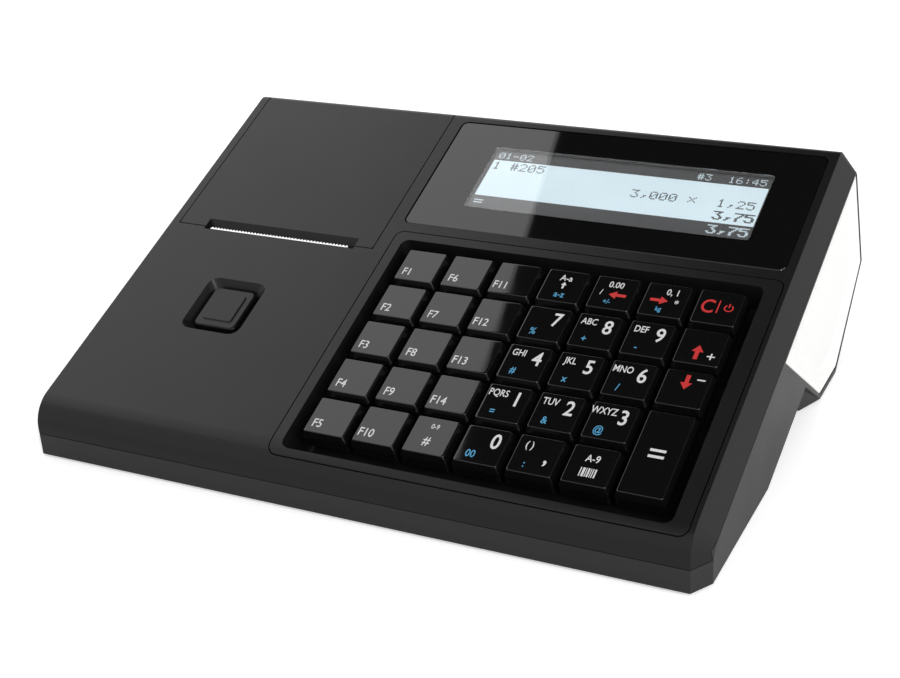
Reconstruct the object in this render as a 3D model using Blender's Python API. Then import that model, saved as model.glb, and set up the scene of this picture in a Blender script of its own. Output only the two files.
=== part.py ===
"""Ticket register: a wedge-shaped till with a key field, a display and a receipt printer.

World frame: +X to the user's right, +Y to the back, +Z up, in metres. The deck frame has the same X,
its Y runs up the sloping deck from the front corner, and its Z stands square to the deck.
"""

import math

import bmesh
import bpy
from mathutils import Vector

MM = 0.001
SMOOTH_ANGLE = math.radians(35)

# Casing
WIDTH = 260 * MM
TILT = math.radians(20.6)
DECK_LENGTH = 186 * MM
REAR_HEIGHT = 56.2 * MM
NOSE_HEIGHT = 19.1 * MM
NOSE_RADIUS = 12 * MM
SEAM_HEIGHT = 8.6 * MM
FLOOR_LENGTH = 67.6 * MM
ARCH_PEAK_Y = 113.5 * MM
ARCH_HEIGHT = 16 * MM
REAR_SOLE_FRONT = 124 * MM
REAR_SOLE_BACK = 158.5 * MM
WALL = 2.5 * MM
GAP = 0.3 * MM
SEAM = 0.4 * MM
OVERRUN = 4 * MM

# Chamfer round both sides of the casing
SIDE_CHAMFER = 4.8 * MM
DECK_CHAMFER = 9.6 * MM
FRONT_CHAMFER = 7.8 * MM
EDGE_RADIUS = 8 * MM
REAR_RADIUS = 3.6 * MM
REAR_EDGE_RADIUS = 3 * MM
LEG_CHAMFER = 11.5 * MM
NOSE_STEPS = 8
REAR_STEPS = 4

# Feet
FOOT_PROUD = 1 * MM
FOOT_SEAT = 1.2 * MM
FOOT_RADIUS = 6 * MM
FOOT_X = 108 * MM
FRONT_FOOT_Y = 18 * MM
REAR_FOOT_Y = 146 * MM
FOOT_EDGE = 0.9 * MM

# Keys
KEY_PITCH = 19.05 * MM
KEY_COLUMNS = 7
KEY_ROWS = 5
KEY_TOP = 15.3 * MM
KEY_FLARE = 17.4 * MM
KEY_SKIRT = 17 * MM
KEY_EDGE = 0.3 * MM
KEY_LEDGE = 2.7 * MM
KEY_LEDGE_STEP = 0.35 * MM
KEY_DEPTH = 7 * MM
KEY_TRAVEL = 2.5 * MM
KEY_STEM = 6.4 * MM
KEY_STEM_END = 13.4 * MM
KEY_CORNER = 0.7 * MM
KEYS_X = 47.1 * MM
KEYS_FRONT = 13.5 * MM

# Keyboard bezel
BEZEL_LEFT = -27 * MM
BEZEL_RIGHT = 123.2 * MM
BEZEL_FRONT = 2.4 * MM
BEZEL_BACK = 114 * MM
BEZEL_CORNER = 3 * MM
BEZEL_RIM = 4.3 * MM
BEZEL_FLANGE = 2.6 * MM
BEZEL_FLANGE_THICKNESS = 1.4 * MM
WELL_LEFT = -23 * MM
WELL_RIGHT = 117.6 * MM
WELL_FRONT = 5 * MM
WELL_BACK = 110.1 * MM
WELL_CORNER = 3 * MM
WELL_DRAFT = 1.6 * MM
WELL_WALL = 1.6 * MM
WELL_CLEARANCE = 0.5 * MM
WELL_DEPTH = KEY_DEPTH + KEY_TRAVEL + WELL_CLEARANCE
WELL_FLOOR = 1.5 * MM

# Display
WINDOW_LEFT = -27.2 * MM
WINDOW_RIGHT = 121.6 * MM
WINDOW_FRONT = 119.1 * MM
WINDOW_BACK = 180 * MM
WINDOW_CORNER = 2.5 * MM
WINDOW_THICKNESS = 1.6 * MM
WINDOW_LEDGE = 3 * MM
WINDOW_SINK = 0.15 * MM
DISPLAY_LEFT = -12 * MM
DISPLAY_RIGHT = 111 * MM
DISPLAY_FRONT = 126 * MM
DISPLAY_BACK = 172 * MM
DISPLAY_THICKNESS = 6 * MM
DISPLAY_LIP = 4.5 * MM
DISPLAY_LIP_DEPTH = 1 * MM

# Printer lid and hinge
LID_LEFT = -121.3 * MM
LID_RIGHT = -33.3 * MM
LID_FRONT = 103.1 * MM
LID_THICKNESS = 2.6 * MM
LID_CORNER = 0.8 * MM
HINGE_INSET = REAR_RADIUS
KNUCKLE_RADIUS = HINGE_INSET
PIVOT_RADIUS = 1.5 * MM
PIVOT_LENGTH = 2.6 * MM
EAR_THICKNESS = 3.2 * MM
EAR_LENGTH = 9 * MM
EAR_DEPTH = 8 * MM
LID_NOTCH_DEPTH = 8.5 * MM
LID_BEARING = 2.5 * MM
LID_BEARING_HALF = 5 * MM
LID_BEARING_DROP = 17 * MM
RIB_THICKNESS = 1.6 * MM
RIB_DEPTH = 4 * MM
RIB_INSET = 2.1 * MM
LID_RIB_END = 9 * MM

# Paper slot, tear bar and printer
SLOT_LEFT = -108.9 * MM
SLOT_RIGHT = -40.9 * MM
SLOT_FRONT = 101.4 * MM
SLOT_BACK = 107.2 * MM
SLOT_DROP = 4.4 * MM
TEAR_LENGTH = 62.7 * MM
TEAR_THICKNESS = 0.6 * MM
TEAR_TOP = 0.4 * MM
TEAR_REACH = 1.5 * MM
TEAR_BOTTOM = 8 * MM
TEAR_TOOTH = 0.8 * MM
TEAR_TEETH = 44
PAPER_X = -75 * MM
ROLLER_LENGTH = 58 * MM
ROLLER_RADIUS = 5 * MM
ROLLER_S = 109.1 * MM
ROLLER_N = -11 * MM
SHAFT_RADIUS = 2 * MM
SHAFT_LEFT = -114 * MM
SHAFT_RIGHT = -41.6 * MM
HEAD_THICKNESS = 1.4 * MM
HEAD_CLEARANCE = 0.9 * MM
HEAD_TOP = 9.2 * MM
HEAD_BOTTOM = 17.6 * MM

# Gears
GEAR_MODULE = 0.7 * MM
GEAR_FACE = 5 * MM
GEAR_LEFT = -113.5 * MM
PLATEN_TEETH = 16
IDLER_TEETH = 20
PINION_TEETH = 10
GEAR_BACKLASH = 0.12 * MM
GEAR_PLAY = 0.1 * MM
PRESSURE_ANGLE = math.radians(20)
PINION_TURN = math.radians(197)
STUD_RADIUS = 1.5 * MM

# Printer frame
FRAME_LEFT = -117 * MM
FRAME_RIGHT = -39 * MM
FRAME_WALL = 2 * MM
FRAME_FRONT = 60 * MM
FRAME_FLOOR = 38 * MM
CHEEK_TOP = 15 * MM
BEAM_FRONT = 98 * MM
BEAM_THICKNESS = 2.6 * MM
BEAM_TOP = 8.4 * MM
BEAM_BOTTOM = 16.5 * MM
BUCKET_S = 150 * MM
BUCKET_N = -30 * MM
BUCKET_RADIUS = 26 * MM
BUCKET_LENGTH = 59 * MM
BUCKET_TOP = 10 * MM
BUCKET_STEPS = 10
GEAR_WALL = 1.5 * MM
GEAR_WALL_FRONT = 88 * MM
GEAR_WALL_BACK = 110 * MM
GEAR_WALL_TOP = 18.6 * MM

# Motor
MOTOR_RADIUS = 8.5 * MM
MOTOR_LENGTH = 15 * MM
MOTOR_SHAFT = 1 * MM
MOTOR_BORE = 8 * MM

# Release button and lid lifter
BUTTON_X = -78.1 * MM
BUTTON_S = 63.2 * MM
BUTTON_WIDTH = 18.3 * MM
BUTTON_LENGTH = 19.8 * MM
BUTTON_CORNER = 2 * MM
BUTTON_SINK = 1.3 * MM
BUTTON_EDGE = 0.5 * MM
BUTTON_PANEL = 12.4 * MM
BUTTON_PANEL_LENGTH = 13.6 * MM
BUTTON_PANEL_RISE = 0.5 * MM
BUTTON_TRAVEL = 2 * MM
BUTTON_FLANGE = 1.4 * MM
BUTTON_STEM = 6 * MM
RECESS_WIDTH = 25.4 * MM
RECESS_LENGTH = 27 * MM
RECESS_CORNER = 4 * MM
RECESS_DEPTH = 4.6 * MM
SLEEVE_WALL = 1.6 * MM
SLEEVE_DEPTH = 9 * MM
LIFTER_TOP = 21.5 * MM
LIFTER_THICKNESS = 2.5 * MM
LIFTER_PAD = 16 * MM
LIFTER_ARM_LEFT = -52 * MM
LIFTER_ARM_RIGHT = -41.6 * MM
LIFTER_PIVOT_S = 88 * MM
LIFTER_BARREL = 3.4 * MM
LIFTER_END = 112 * MM
LIFTER_FINGER = 5 * MM
LIFTER_RISE = BUTTON_TRAVEL * (LIFTER_END - LIFTER_PIVOT_S) / (LIFTER_PIVOT_S - BUTTON_S)
LIFTER_FINGER_TOP = LID_BEARING_DROP + LIFTER_RISE + GAP

# Board and key mat
MAT_TOP = 16 * MM
MAT_THICKNESS = 1.2 * MM
MAT_COLLAR = 10 * MM
MAT_COLLAR_TOP = 12.2 * MM
MAT_MARGIN = 2 * MM
BOARD_TOP = MAT_TOP + MAT_THICKNESS + GAP
BOARD_THICKNESS = 1.6 * MM
BOARD_MARGIN = 4 * MM
POST_RADIUS = 3 * MM
POST_SIDES = 8
POST_SINK = 1.2 * MM

# Side covers
COVER_SIDE_RIM = 1.7 * MM
COVER_REAR_RIM = 1.2 * MM
COVER_LOW_RIM = 2.4 * MM
COVER_TIP_S = 87.1 * MM
COVER_FOOT_Y = 135 * MM
COVER_DISH = 1.6 * MM
COVER_DISH_RIM = 8.5 * MM
COVER_SINK = 0.1 * MM
COVER_STEP = 3 * MM
COVER_BACK = 3.8 * MM

# Port block in the rear wall
PORT_LEFT = 40 * MM
PORT_WIDTH = 34 * MM
PORT_TOP = 22 * MM
PORT_HEIGHT = 14 * MM
PORT_DEPTH = 13 * MM
SOCKET_WIDTH = 12 * MM
SOCKET_HEIGHT = 9.6 * MM
SOCKET_DEPTH = 10 * MM
SHELF_WALL = 1.6 * MM

ROUND_STEPS = 16
CORNER_STEPS = 3

HALF_WIDTH = WIDTH / 2
DEPTH = DECK_LENGTH * math.cos(TILT) + REAR_HEIGHT * math.sin(TILT)
FRONT_Y = -DEPTH / 2


def slope_to_world(s, n):
    """World (y, z) of a point s up the deck and n above it."""
    y = FRONT_Y + s * math.cos(TILT) - n * math.sin(TILT)
    z = FOOT_PROUD + NOSE_HEIGHT + s * math.sin(TILT) + n * math.cos(TILT)
    return y, z


def clear_scene():
    for obj in list(bpy.data.objects):
        bpy.data.objects.remove(obj, do_unlink=True)


def make_material(name, colour, roughness, metallic=0.0):
    """A Principled material with one colour."""
    material = bpy.data.materials.new(name)
    material.use_nodes = True
    shader = material.node_tree.nodes["Principled BSDF"]
    shader.inputs["Base Color"].default_value = (*colour, 1)
    shader.inputs["Roughness"].default_value = roughness
    shader.inputs["Metallic"].default_value = metallic
    material.diffuse_color = (*colour, 1)
    return material


def make_empty(name, location, tilt):
    empty = bpy.data.objects.new(name, None)
    empty.location = location
    empty.rotation_euler = (tilt, 0, 0)
    bpy.context.scene.collection.objects.link(empty)
    return empty


def make_object(name, mesh_source, material, parent=None, location=(0, 0, 0)):
    """An object from a bmesh, shaded smooth below the sharp angle."""
    mesh = bpy.data.meshes.new(name)
    bmesh.ops.recalc_face_normals(mesh_source, faces=mesh_source.faces)
    mesh_source.to_mesh(mesh)
    mesh_source.free()
    mesh.shade_smooth()
    mesh.set_sharp_from_angle(angle=SMOOTH_ANGLE)
    return place_mesh(name, mesh, material, parent, location)


def place_mesh(name, mesh, material, parent, location):
    obj = bpy.data.objects.new(name, mesh)
    if material and not mesh.materials:
        mesh.materials.append(material)
    obj.parent = parent
    obj.location = location
    bpy.context.scene.collection.objects.link(obj)
    return obj


def make_cutter(name, mesh_source, parent=None):
    cutter = make_object(name, mesh_source, None, parent)
    cutter.hide_render = True
    cutter.display_type = "WIRE"
    return cutter


def boolean(obj, cutter, operation="DIFFERENCE"):
    modifier = obj.modifiers.new(cutter.name, "BOOLEAN")
    modifier.operation = operation
    modifier.solver = "EXACT"
    modifier.object = cutter


def loft(rings):
    """A closed solid through rings of equal length, with its two ends filled."""
    solid = bmesh.new()
    levels = [[solid.verts.new(point) for point in ring] for ring in rings]
    count = len(rings[0])
    for low, high in zip(levels, levels[1:]):
        for i in range(count):
            j = (i + 1) % count
            solid.faces.new((low[i], low[j], high[j], high[i]))
    solid.faces.new(levels[0])
    solid.faces.new(levels[-1])
    return solid


def merge(solids):
    """One bmesh that holds several separate solids."""
    whole = bmesh.new()
    for solid in solids:
        mesh = bpy.data.meshes.new("piece")
        bmesh.ops.recalc_face_normals(solid, faces=solid.faces)
        solid.to_mesh(mesh)
        solid.free()
        whole.from_mesh(mesh)
        bpy.data.meshes.remove(mesh)
    return whole


def arc(centre, radius, start, end, steps):
    """Points on an arc, both ends included; angles in radians."""
    points = []
    for i in range(steps + 1):
        angle = start + (end - start) * i / steps
        points.append((centre[0] + radius * math.cos(angle), centre[1] + radius * math.sin(angle)))
    return points


def circle(centre, radius, steps=ROUND_STEPS):
    return arc(centre, radius, 0, 2 * math.pi, steps)[:-1]


def rectangle(left, right, front, back, corner=0, steps=CORNER_STEPS):
    """Corner points of a rectangle, its corners rounded where corner isn't zero."""
    if not corner:
        return [(left, front), (right, front), (right, back), (left, back)]
    points = []
    centres = ((right, back), (left, back), (left, front), (right, front))
    signs = ((-1, -1), (1, -1), (1, 1), (-1, 1))
    for i, ((x, y), (sign_x, sign_y)) in enumerate(zip(centres, signs)):
        centre = (x + sign_x * corner, y + sign_y * corner)
        points += arc(centre, corner, i * math.pi / 2, (i + 1) * math.pi / 2, steps)
    return points


def centred(x, y, width, length, corner=0):
    return rectangle(x - width / 2, x + width / 2, y - length / 2, y + length / 2, corner)


def upright(outline, low, high):
    """A prism of an (x, y) outline between two heights."""
    return loft([[(x, y, z) for x, y in outline] for z in (low, high)])


def box(left, right, front, back, low, high):
    return upright(rectangle(left, right, front, back), low, high)


def crosswise(outline, left, right):
    """A prism of a (y, z) outline between two x places."""
    return loft([[(x, y, z) for y, z in outline] for x in (left, right)])


def offset(points, distances):
    """A counterclockwise polygon with each edge moved inwards by its own distance."""
    count = len(points)
    lines = []
    for i in range(count):
        start, end = Vector(points[i]), Vector(points[(i + 1) % count])
        along = (end - start).normalized()
        inward = Vector((-along.y, along.x))
        lines.append((start + inward * distances[i], along))
    moved = []
    for i in range(count):
        (a, u), (b, v) = lines[i - 1], lines[i]
        turn = u.x * v.y - u.y * v.x
        away = b - a
        share = (away.x * v.y - away.y * v.x) / turn
        moved.append(tuple(a + u * share))
    return moved


def side_profile(deck_inset, front_inset, radius, rear_radius, leg_inset):
    """The casing's outline in world (y, z), counterclockwise seen from +X."""
    sole = FOOT_PROUD
    front = FRONT_Y + front_inset
    corner_s = (front_inset - deck_inset * math.sin(TILT)) / math.cos(TILT)
    turn = math.pi / 2 - TILT
    tangent = radius * math.tan(turn / 2)
    centre = slope_to_world(corner_s + tangent, -deck_inset - radius)
    nose = arc(centre, radius, math.pi / 2 + TILT, math.pi, NOSE_STEPS)
    rear_centre = slope_to_world(DECK_LENGTH - rear_radius, -deck_inset - rear_radius)
    rear = arc(rear_centre, rear_radius, TILT, TILT + math.pi / 2, REAR_STEPS)
    low = [
        (front, sole),
        (FRONT_Y + FLOOR_LENGTH, sole),
        (FRONT_Y + ARCH_PEAK_Y, sole + ARCH_HEIGHT),
        (FRONT_Y + REAR_SOLE_FRONT + leg_inset, sole),
        (FRONT_Y + REAR_SOLE_BACK, sole),
        slope_to_world(DECK_LENGTH, -REAR_HEIGHT),
    ]
    return low + rear + nose


def casing_solid(inset=0):
    """The casing's whole outer form, or the same form shrunk all round."""
    full = side_profile(0, 0, NOSE_RADIUS, REAR_RADIUS, 0)
    side = side_profile(DECK_CHAMFER, FRONT_CHAMFER, EDGE_RADIUS, REAR_EDGE_RADIUS, LEG_CHAMFER)
    if inset:
        full = offset(full, [inset] * len(full))
        side = offset(side, [inset] * len(side))
    outer = HALF_WIDTH - inset
    inner = HALF_WIDTH - SIDE_CHAMFER - inset
    places = ((-outer, side), (-inner, full), (inner, full), (outer, side))
    return loft([[(x, y, z) for y, z in outline] for x, outline in places])


def lower_region(grow):
    """What lies under the seam between the two housings, grown upwards by a distance."""
    seam_z = FOOT_PROUD + SEAM_HEIGHT + grow
    step_y = FRONT_Y + FRONT_CHAMFER - grow
    depth = -DECK_CHAMFER + grow
    step_s = (step_y - FRONT_Y + depth * math.sin(TILT)) / math.cos(TILT)
    outline = [
        (FRONT_Y - OVERRUN, -OVERRUN),
        (-FRONT_Y + OVERRUN, -OVERRUN),
        slope_to_world(DECK_LENGTH + OVERRUN, -REAR_HEIGHT),
        slope_to_world(DECK_LENGTH + OVERRUN, depth),
        slope_to_world(step_s, depth),
        (step_y, seam_z),
        (FRONT_Y - OVERRUN, seam_z),
    ]
    outer = HALF_WIDTH + OVERRUN
    return crosswise(outline, -outer, outer)


def opening(left, right, front, back, corner, low, high, grow=0):
    """A prism with rounded corners, grown outwards for a cut with clearance."""
    outline = rectangle(left - grow, right + grow, front - grow, back + grow, corner + grow)
    return upright(outline, low, high)


def tapered(x, y, width, length, corner, low, high, spread):
    """A rounded frustum whose top is wider than its foot by spread on each side."""
    wide = centred(x, y, width, length, corner)
    narrow = centred(x, y, width - 2 * spread, length - 2 * spread, corner)
    return loft([[(a, b, low) for a, b in narrow], [(a, b, high) for a, b in wide]])


def flared_cut(x, y, width, length, corner, depth, spread):
    """A tapered cutter for a pit that is width by length at the deck's surface."""
    more = spread * OVERRUN / depth
    return tapered(
        x, y, width + 2 * more, length + 2 * more, corner, -depth, OVERRUN, spread + more
    )


def make_housings(deck, finishes):
    """The upper and lower housings, cut from one casing form."""
    cavity = make_cutter("cavity", casing_solid(WALL))
    upper = make_object("upper_housing", casing_solid(), finishes["shell"])
    boolean(upper, make_cutter("below_seam", lower_region(GAP / 2)))
    boolean(upper, cavity)
    add_hinge_ears(upper, deck)
    add_button_sleeve(upper, deck)
    cut_deck_openings(upper, deck)
    lower = make_object("lower_housing", casing_solid(), finishes["side"])
    boolean(lower, make_cutter("under_seam", lower_region(-GAP / 2)), "INTERSECT")
    boolean(lower, cavity)
    add_posts(lower, deck)
    cut_lower_openings(lower, deck)
    return upper, lower


def hinge_place():
    return DECK_LENGTH - HINGE_INSET, -HINGE_INSET


def add_hinge_ears(upper, deck):
    """Ears under the deck at both ends of the lid's hinge."""
    s, n = hinge_place()
    ears = []
    for left in (LID_LEFT - SEAM - EAR_THICKNESS, LID_RIGHT + SEAM):
        low, high = -EAR_DEPTH, -WALL / 2
        ears.append(box(left, left + EAR_THICKNESS, s - EAR_LENGTH / 2, DECK_LENGTH - WALL / 2, low, high))
    boolean(upper, make_cutter("hinge_ears", merge(ears), deck), "UNION")


def add_button_sleeve(upper, deck):
    """The dish's underside and the sleeve that guides the release button."""
    grow = 2 * SLEEVE_WALL
    low, high = -RECESS_DEPTH - SLEEVE_WALL, -WALL / 2
    spread = (RECESS_WIDTH - BUTTON_WIDTH) / 2 - SEAM - SLEEVE_WALL
    dish = tapered(
        BUTTON_X, BUTTON_S, RECESS_WIDTH + grow, RECESS_LENGTH + grow, RECESS_CORNER, low, high, spread
    )
    boolean(upper, make_cutter("dish_wall", dish, deck), "UNION")
    width = BUTTON_WIDTH + 2 * (GAP + SLEEVE_WALL)
    length = BUTTON_LENGTH + 2 * (GAP + SLEEVE_WALL)
    sleeve = upright(
        centred(BUTTON_X, BUTTON_S, width, length, BUTTON_CORNER), -SLEEVE_DEPTH, -RECESS_DEPTH - GAP
    )
    boolean(upper, make_cutter("button_sleeve", sleeve, deck), "UNION")


def cut_deck_openings(upper, deck):
    top = OVERRUN
    bezel = opening(
        BEZEL_LEFT, BEZEL_RIGHT, BEZEL_FRONT, BEZEL_BACK, BEZEL_CORNER, -DECK_CHAMFER + GAP, top, SEAM
    )
    window = opening(
        WINDOW_LEFT, WINDOW_RIGHT, WINDOW_FRONT, WINDOW_BACK, WINDOW_CORNER,
        -WINDOW_SINK - WINDOW_THICKNESS - GAP, top, SEAM,
    )
    view = opening(
        WINDOW_LEFT, WINDOW_RIGHT, WINDOW_FRONT, WINDOW_BACK, WINDOW_CORNER + WINDOW_LEDGE,
        -OVERRUN, top, -WINDOW_LEDGE,
    )
    s, n = hinge_place()
    lid = box(
        LID_LEFT - SEAM, LID_RIGHT + SEAM, LID_FRONT - SEAM, DECK_LENGTH + OVERRUN, -LID_NOTCH_DEPTH, top
    )
    slot = box(SLOT_LEFT, SLOT_RIGHT, SLOT_FRONT, SLOT_BACK, -OVERRUN, top)
    bore = crosswise(
        circle((s, n), PIVOT_RADIUS + GAP), LID_LEFT - SEAM - PIVOT_LENGTH, LID_RIGHT + SEAM + PIVOT_LENGTH
    )
    spread = (RECESS_WIDTH - BUTTON_WIDTH) / 2 - GAP
    dish = flared_cut(
        BUTTON_X, BUTTON_S, RECESS_WIDTH, RECESS_LENGTH, RECESS_CORNER, RECESS_DEPTH, spread
    )
    passage = upright(
        centred(BUTTON_X, BUTTON_S, BUTTON_WIDTH + 2 * GAP, BUTTON_LENGTH + 2 * GAP, BUTTON_CORNER + GAP),
        -SLEEVE_DEPTH - OVERRUN, top,
    )
    cuts = {
        "bezel_opening": bezel, "window_seat": window, "window_view": view, "lid_opening": lid,
        "paper_slot": slot, "pivot_bores": bore, "dish_cut": dish,
        "button_passage": passage,
    }
    for name, solid in cuts.items():
        boolean(upper, make_cutter(name, solid, deck))


def board_posts():
    """Places (x, s) of the posts under the main board."""
    left, right = BEZEL_LEFT + BOARD_MARGIN, WELL_RIGHT - BOARD_MARGIN
    front, back = WELL_FRONT + BOARD_MARGIN * 2, WELL_BACK - BOARD_MARGIN
    return [(x, s) for x in (left, right) for s in (front, back)]


def frame_posts():
    """Places (x, s) of the posts under the printer frame."""
    left, right = FRAME_LEFT + BOARD_MARGIN, FRAME_RIGHT - BOARD_MARGIN
    return [(x, s) for x in (left, right) for s in (FRAME_FRONT + BOARD_MARGIN * 2, BEAM_FRONT)]


def add_posts(lower, deck):
    """Posts that rise square to the deck and end just under what they carry."""
    board_foot = -BOARD_TOP - BOARD_THICKNESS - GAP
    places = [(x, s, board_foot) for x, s in board_posts()]
    places += [(x, s, -FRAME_FLOOR - GAP) for x, s in frame_posts()]
    posts = []
    for x, s, high in places:
        posts.append(upright(circle((x, s), POST_RADIUS, POST_SIDES), floor_level(s) - POST_SINK, high))
    boolean(lower, make_cutter("posts", merge(posts), deck), "UNION")


def floor_level(s):
    """Deck-frame height of the floor's inner face under a place s up the deck."""
    arch_turn = math.atan2(ARCH_HEIGHT, ARCH_PEAK_Y - FLOOR_LENGTH)
    sole = NOSE_HEIGHT - WALL
    flat = (-sole - s * math.sin(TILT)) / math.cos(TILT)
    rise = sole - (s * math.cos(TILT) - FLOOR_LENGTH) * math.tan(arch_turn)
    arch = -(rise + s * math.sin(TILT)) / (math.cos(TILT) + math.sin(TILT) * math.tan(arch_turn))
    return max(flat, arch)


def cut_lower_openings(lower, deck):
    """Windows for the side covers, the rear ports and the seats of the feet."""
    seats = merge([cover_prism(side, GAP, 0) for side in (-1, 1)])
    boolean(lower, make_cutter("cover_windows", seats))
    ports = box(
        PORT_LEFT - GAP, PORT_LEFT + PORT_WIDTH + GAP, DECK_LENGTH - WALL - OVERRUN, DECK_LENGTH + OVERRUN,
        -PORT_TOP - PORT_HEIGHT - GAP, -PORT_TOP + GAP,
    )
    boolean(lower, make_cutter("port_window", ports, deck))
    radius = FOOT_RADIUS + GAP
    top = FOOT_PROUD + FOOT_SEAT + GAP
    feet = merge([upright(circle(place, radius), -OVERRUN, top) for place in foot_places().values()])
    boolean(lower, make_cutter("foot_seats", feet))


def foot_places():
    """Name and world (x, y) of each rubber foot."""
    places = {}
    for end, y in (("front", FRONT_FOOT_Y), ("rear", REAR_FOOT_Y)):
        for side, x in (("left", -FOOT_X), ("right", FOOT_X)):
            places[f"foot_{end}_{side}"] = (x, FRONT_Y + y)
    return places


def make_feet(finishes):
    for name, (x, y) in foot_places().items():
        outline = circle((0, 0), FOOT_RADIUS)
        chamfered = circle((0, 0), FOOT_RADIUS - FOOT_EDGE)
        rings = [
            [(a, b, 0) for a, b in chamfered],
            [(a, b, FOOT_PROUD / 2) for a, b in outline],
            [(a, b, FOOT_PROUD + FOOT_SEAT) for a, b in outline],
        ]
        make_object(name, loft(rings), finishes["rubber"], None, (x, y, 0))


def cover_outline():
    """The side cover's outline in world (y, z), counterclockwise seen from +X."""
    top = -DECK_CHAMFER - COVER_SIDE_RIM
    back = DECK_LENGTH - COVER_REAR_RIM
    low = FOOT_PROUD + COVER_LOW_RIM
    corner = slope_to_world(DECK_LENGTH, -REAR_HEIGHT)
    rear = slope_to_world(back, -REAR_HEIGHT + COVER_REAR_RIM / 2)
    run = (corner[0] - FRONT_Y - REAR_SOLE_BACK) / (corner[1] - FOOT_PROUD)
    foot_back = (FRONT_Y + REAR_SOLE_BACK + run * COVER_LOW_RIM - COVER_LOW_RIM, low)
    return [
        slope_to_world(COVER_TIP_S, top),
        (FRONT_Y + COVER_FOOT_Y, low),
        foot_back,
        rear,
        slope_to_world(back, top),
    ]


def cover_prism(side, grow, inset):
    """The cover's outline as a prism through the side wall, for the window's cut."""
    outline = offset(cover_outline(), [inset - grow] * len(cover_outline()))
    wall = HALF_WIDTH - WALL - GAP
    return crosswise(outline, side * wall, side * (HALF_WIDTH + OVERRUN))


def make_side_cover(side, name, finishes):
    """A cover with a sloping rim and a dished middle."""
    outline = cover_outline()
    count = len(outline)
    step = offset(outline, [COVER_STEP] * count)
    dish = offset(outline, [COVER_DISH_RIM] * count)
    face = HALF_WIDTH - COVER_SINK
    rings = (
        (step, HALF_WIDTH - COVER_BACK),
        (step, HALF_WIDTH - WALL),
        (outline, HALF_WIDTH - WALL),
        (outline, face),
        (dish, face - COVER_DISH),
    )
    solid = loft([[(side * x, y, z) for y, z in ring] for ring, x in rings])
    make_object(name, solid, finishes["cover"])


def key_places():
    """Name, centre (x, s) and extra length of each key; the last column ends in one tall key."""
    left = KEYS_X - (KEY_COLUMNS - 1) * KEY_PITCH / 2
    places = []
    for row in range(KEY_ROWS):
        for column in range(KEY_COLUMNS):
            x = left + column * KEY_PITCH
            s = KEYS_FRONT + (KEY_ROWS - row - 1 + 1 / 2) * KEY_PITCH - (KEY_PITCH - KEY_TOP) / 2
            tall = column == KEY_COLUMNS - 1 and row == KEY_ROWS - 2
            if column == KEY_COLUMNS - 1 and row == KEY_ROWS - 1:
                continue
            if tall:
                places.append((f"key_r{row + 1}_c{column + 1}_tall", x, s - KEY_PITCH / 2, KEY_PITCH))
            else:
                places.append((f"key_r{row + 1}_c{column + 1}", x, s, 0))
    return places


def key_solid(extra):
    """A flat-topped cap with flared glossy sides over a skirt, and its guide stem."""
    levels = (
        (KEY_STEM, -KEY_STEM_END, 0), (KEY_STEM, -KEY_DEPTH, 0),
        (KEY_SKIRT, -KEY_DEPTH, extra), (KEY_SKIRT, -KEY_LEDGE - KEY_LEDGE_STEP, extra),
        (KEY_FLARE, -KEY_LEDGE, extra), (KEY_TOP, -KEY_EDGE, extra), (KEY_TOP - KEY_EDGE, 0, extra),
    )
    rings = []
    for size, height, more in levels:
        corners = centred(0, 0, size, size + more)
        ring = []
        for i, (a, b) in enumerate(corners):
            back, ahead = Vector(corners[i - 1]), Vector(corners[(i + 1) % len(corners)])
            corner = Vector((a, b))
            for other in (back, ahead):
                place = corner + (other - corner).normalized() * KEY_CORNER
                ring.append((place.x, place.y, height))
        rings.append(ring)
    return loft(rings)


def make_keys(deck, finishes):
    meshes = {}
    for name, x, s, extra in key_places():
        if extra not in meshes:
            first = make_object(name, key_solid(extra), finishes["key"], deck, (x, s, 0))
            meshes[extra] = first.data
        else:
            place_mesh(name, meshes[extra], finishes["key"], deck, (x, s, 0))


def key_holes(size, low, high):
    """A square prism at every key's stem."""
    return merge([upright(centred(x, s, size, size), low, high) for _, x, s, _ in key_places()])


def make_bezel(deck, casing, finishes):
    """The frame round the keys: rim, drafted well, guide floor and mounting flanges."""
    top = OVERRUN
    rim = opening(BEZEL_LEFT, BEZEL_RIGHT, BEZEL_FRONT, BEZEL_BACK, BEZEL_CORNER, -BEZEL_RIM, top)
    bezel = make_object("keyboard_bezel", rim, finishes["shell"], deck)
    flange_low = -BEZEL_RIM + GAP
    flange = box(
        BEZEL_LEFT - BEZEL_FLANGE, WELL_RIGHT - BEZEL_CORNER, WELL_BACK / 2, BEZEL_BACK + BEZEL_FLANGE,
        flange_low - BEZEL_FLANGE_THICKNESS, flange_low,
    )
    foot = -WELL_DEPTH - WELL_FLOOR
    tub = box(
        WELL_LEFT - WELL_WALL, WELL_RIGHT + WELL_WALL, WELL_FRONT - WELL_WALL, WELL_BACK + WELL_WALL,
        foot, -BEZEL_RIM + GAP,
    )
    boolean(bezel, casing, "INTERSECT")
    boolean(bezel, make_cutter("bezel_flange", flange, deck), "UNION")
    boolean(bezel, make_cutter("bezel_tub", tub, deck), "UNION")
    x, s = (WELL_LEFT + WELL_RIGHT) / 2, (WELL_FRONT + WELL_BACK) / 2
    width, length = WELL_RIGHT - WELL_LEFT, WELL_BACK - WELL_FRONT
    well = flared_cut(x, s, width, length, WELL_CORNER, WELL_DEPTH, WELL_DRAFT)
    boolean(bezel, make_cutter("well", well, deck))
    holes = key_holes(KEY_STEM + 2 * GAP, foot - OVERRUN, -WELL_DEPTH + OVERRUN / 2)
    boolean(bezel, make_cutter("key_holes", holes, deck))


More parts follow.
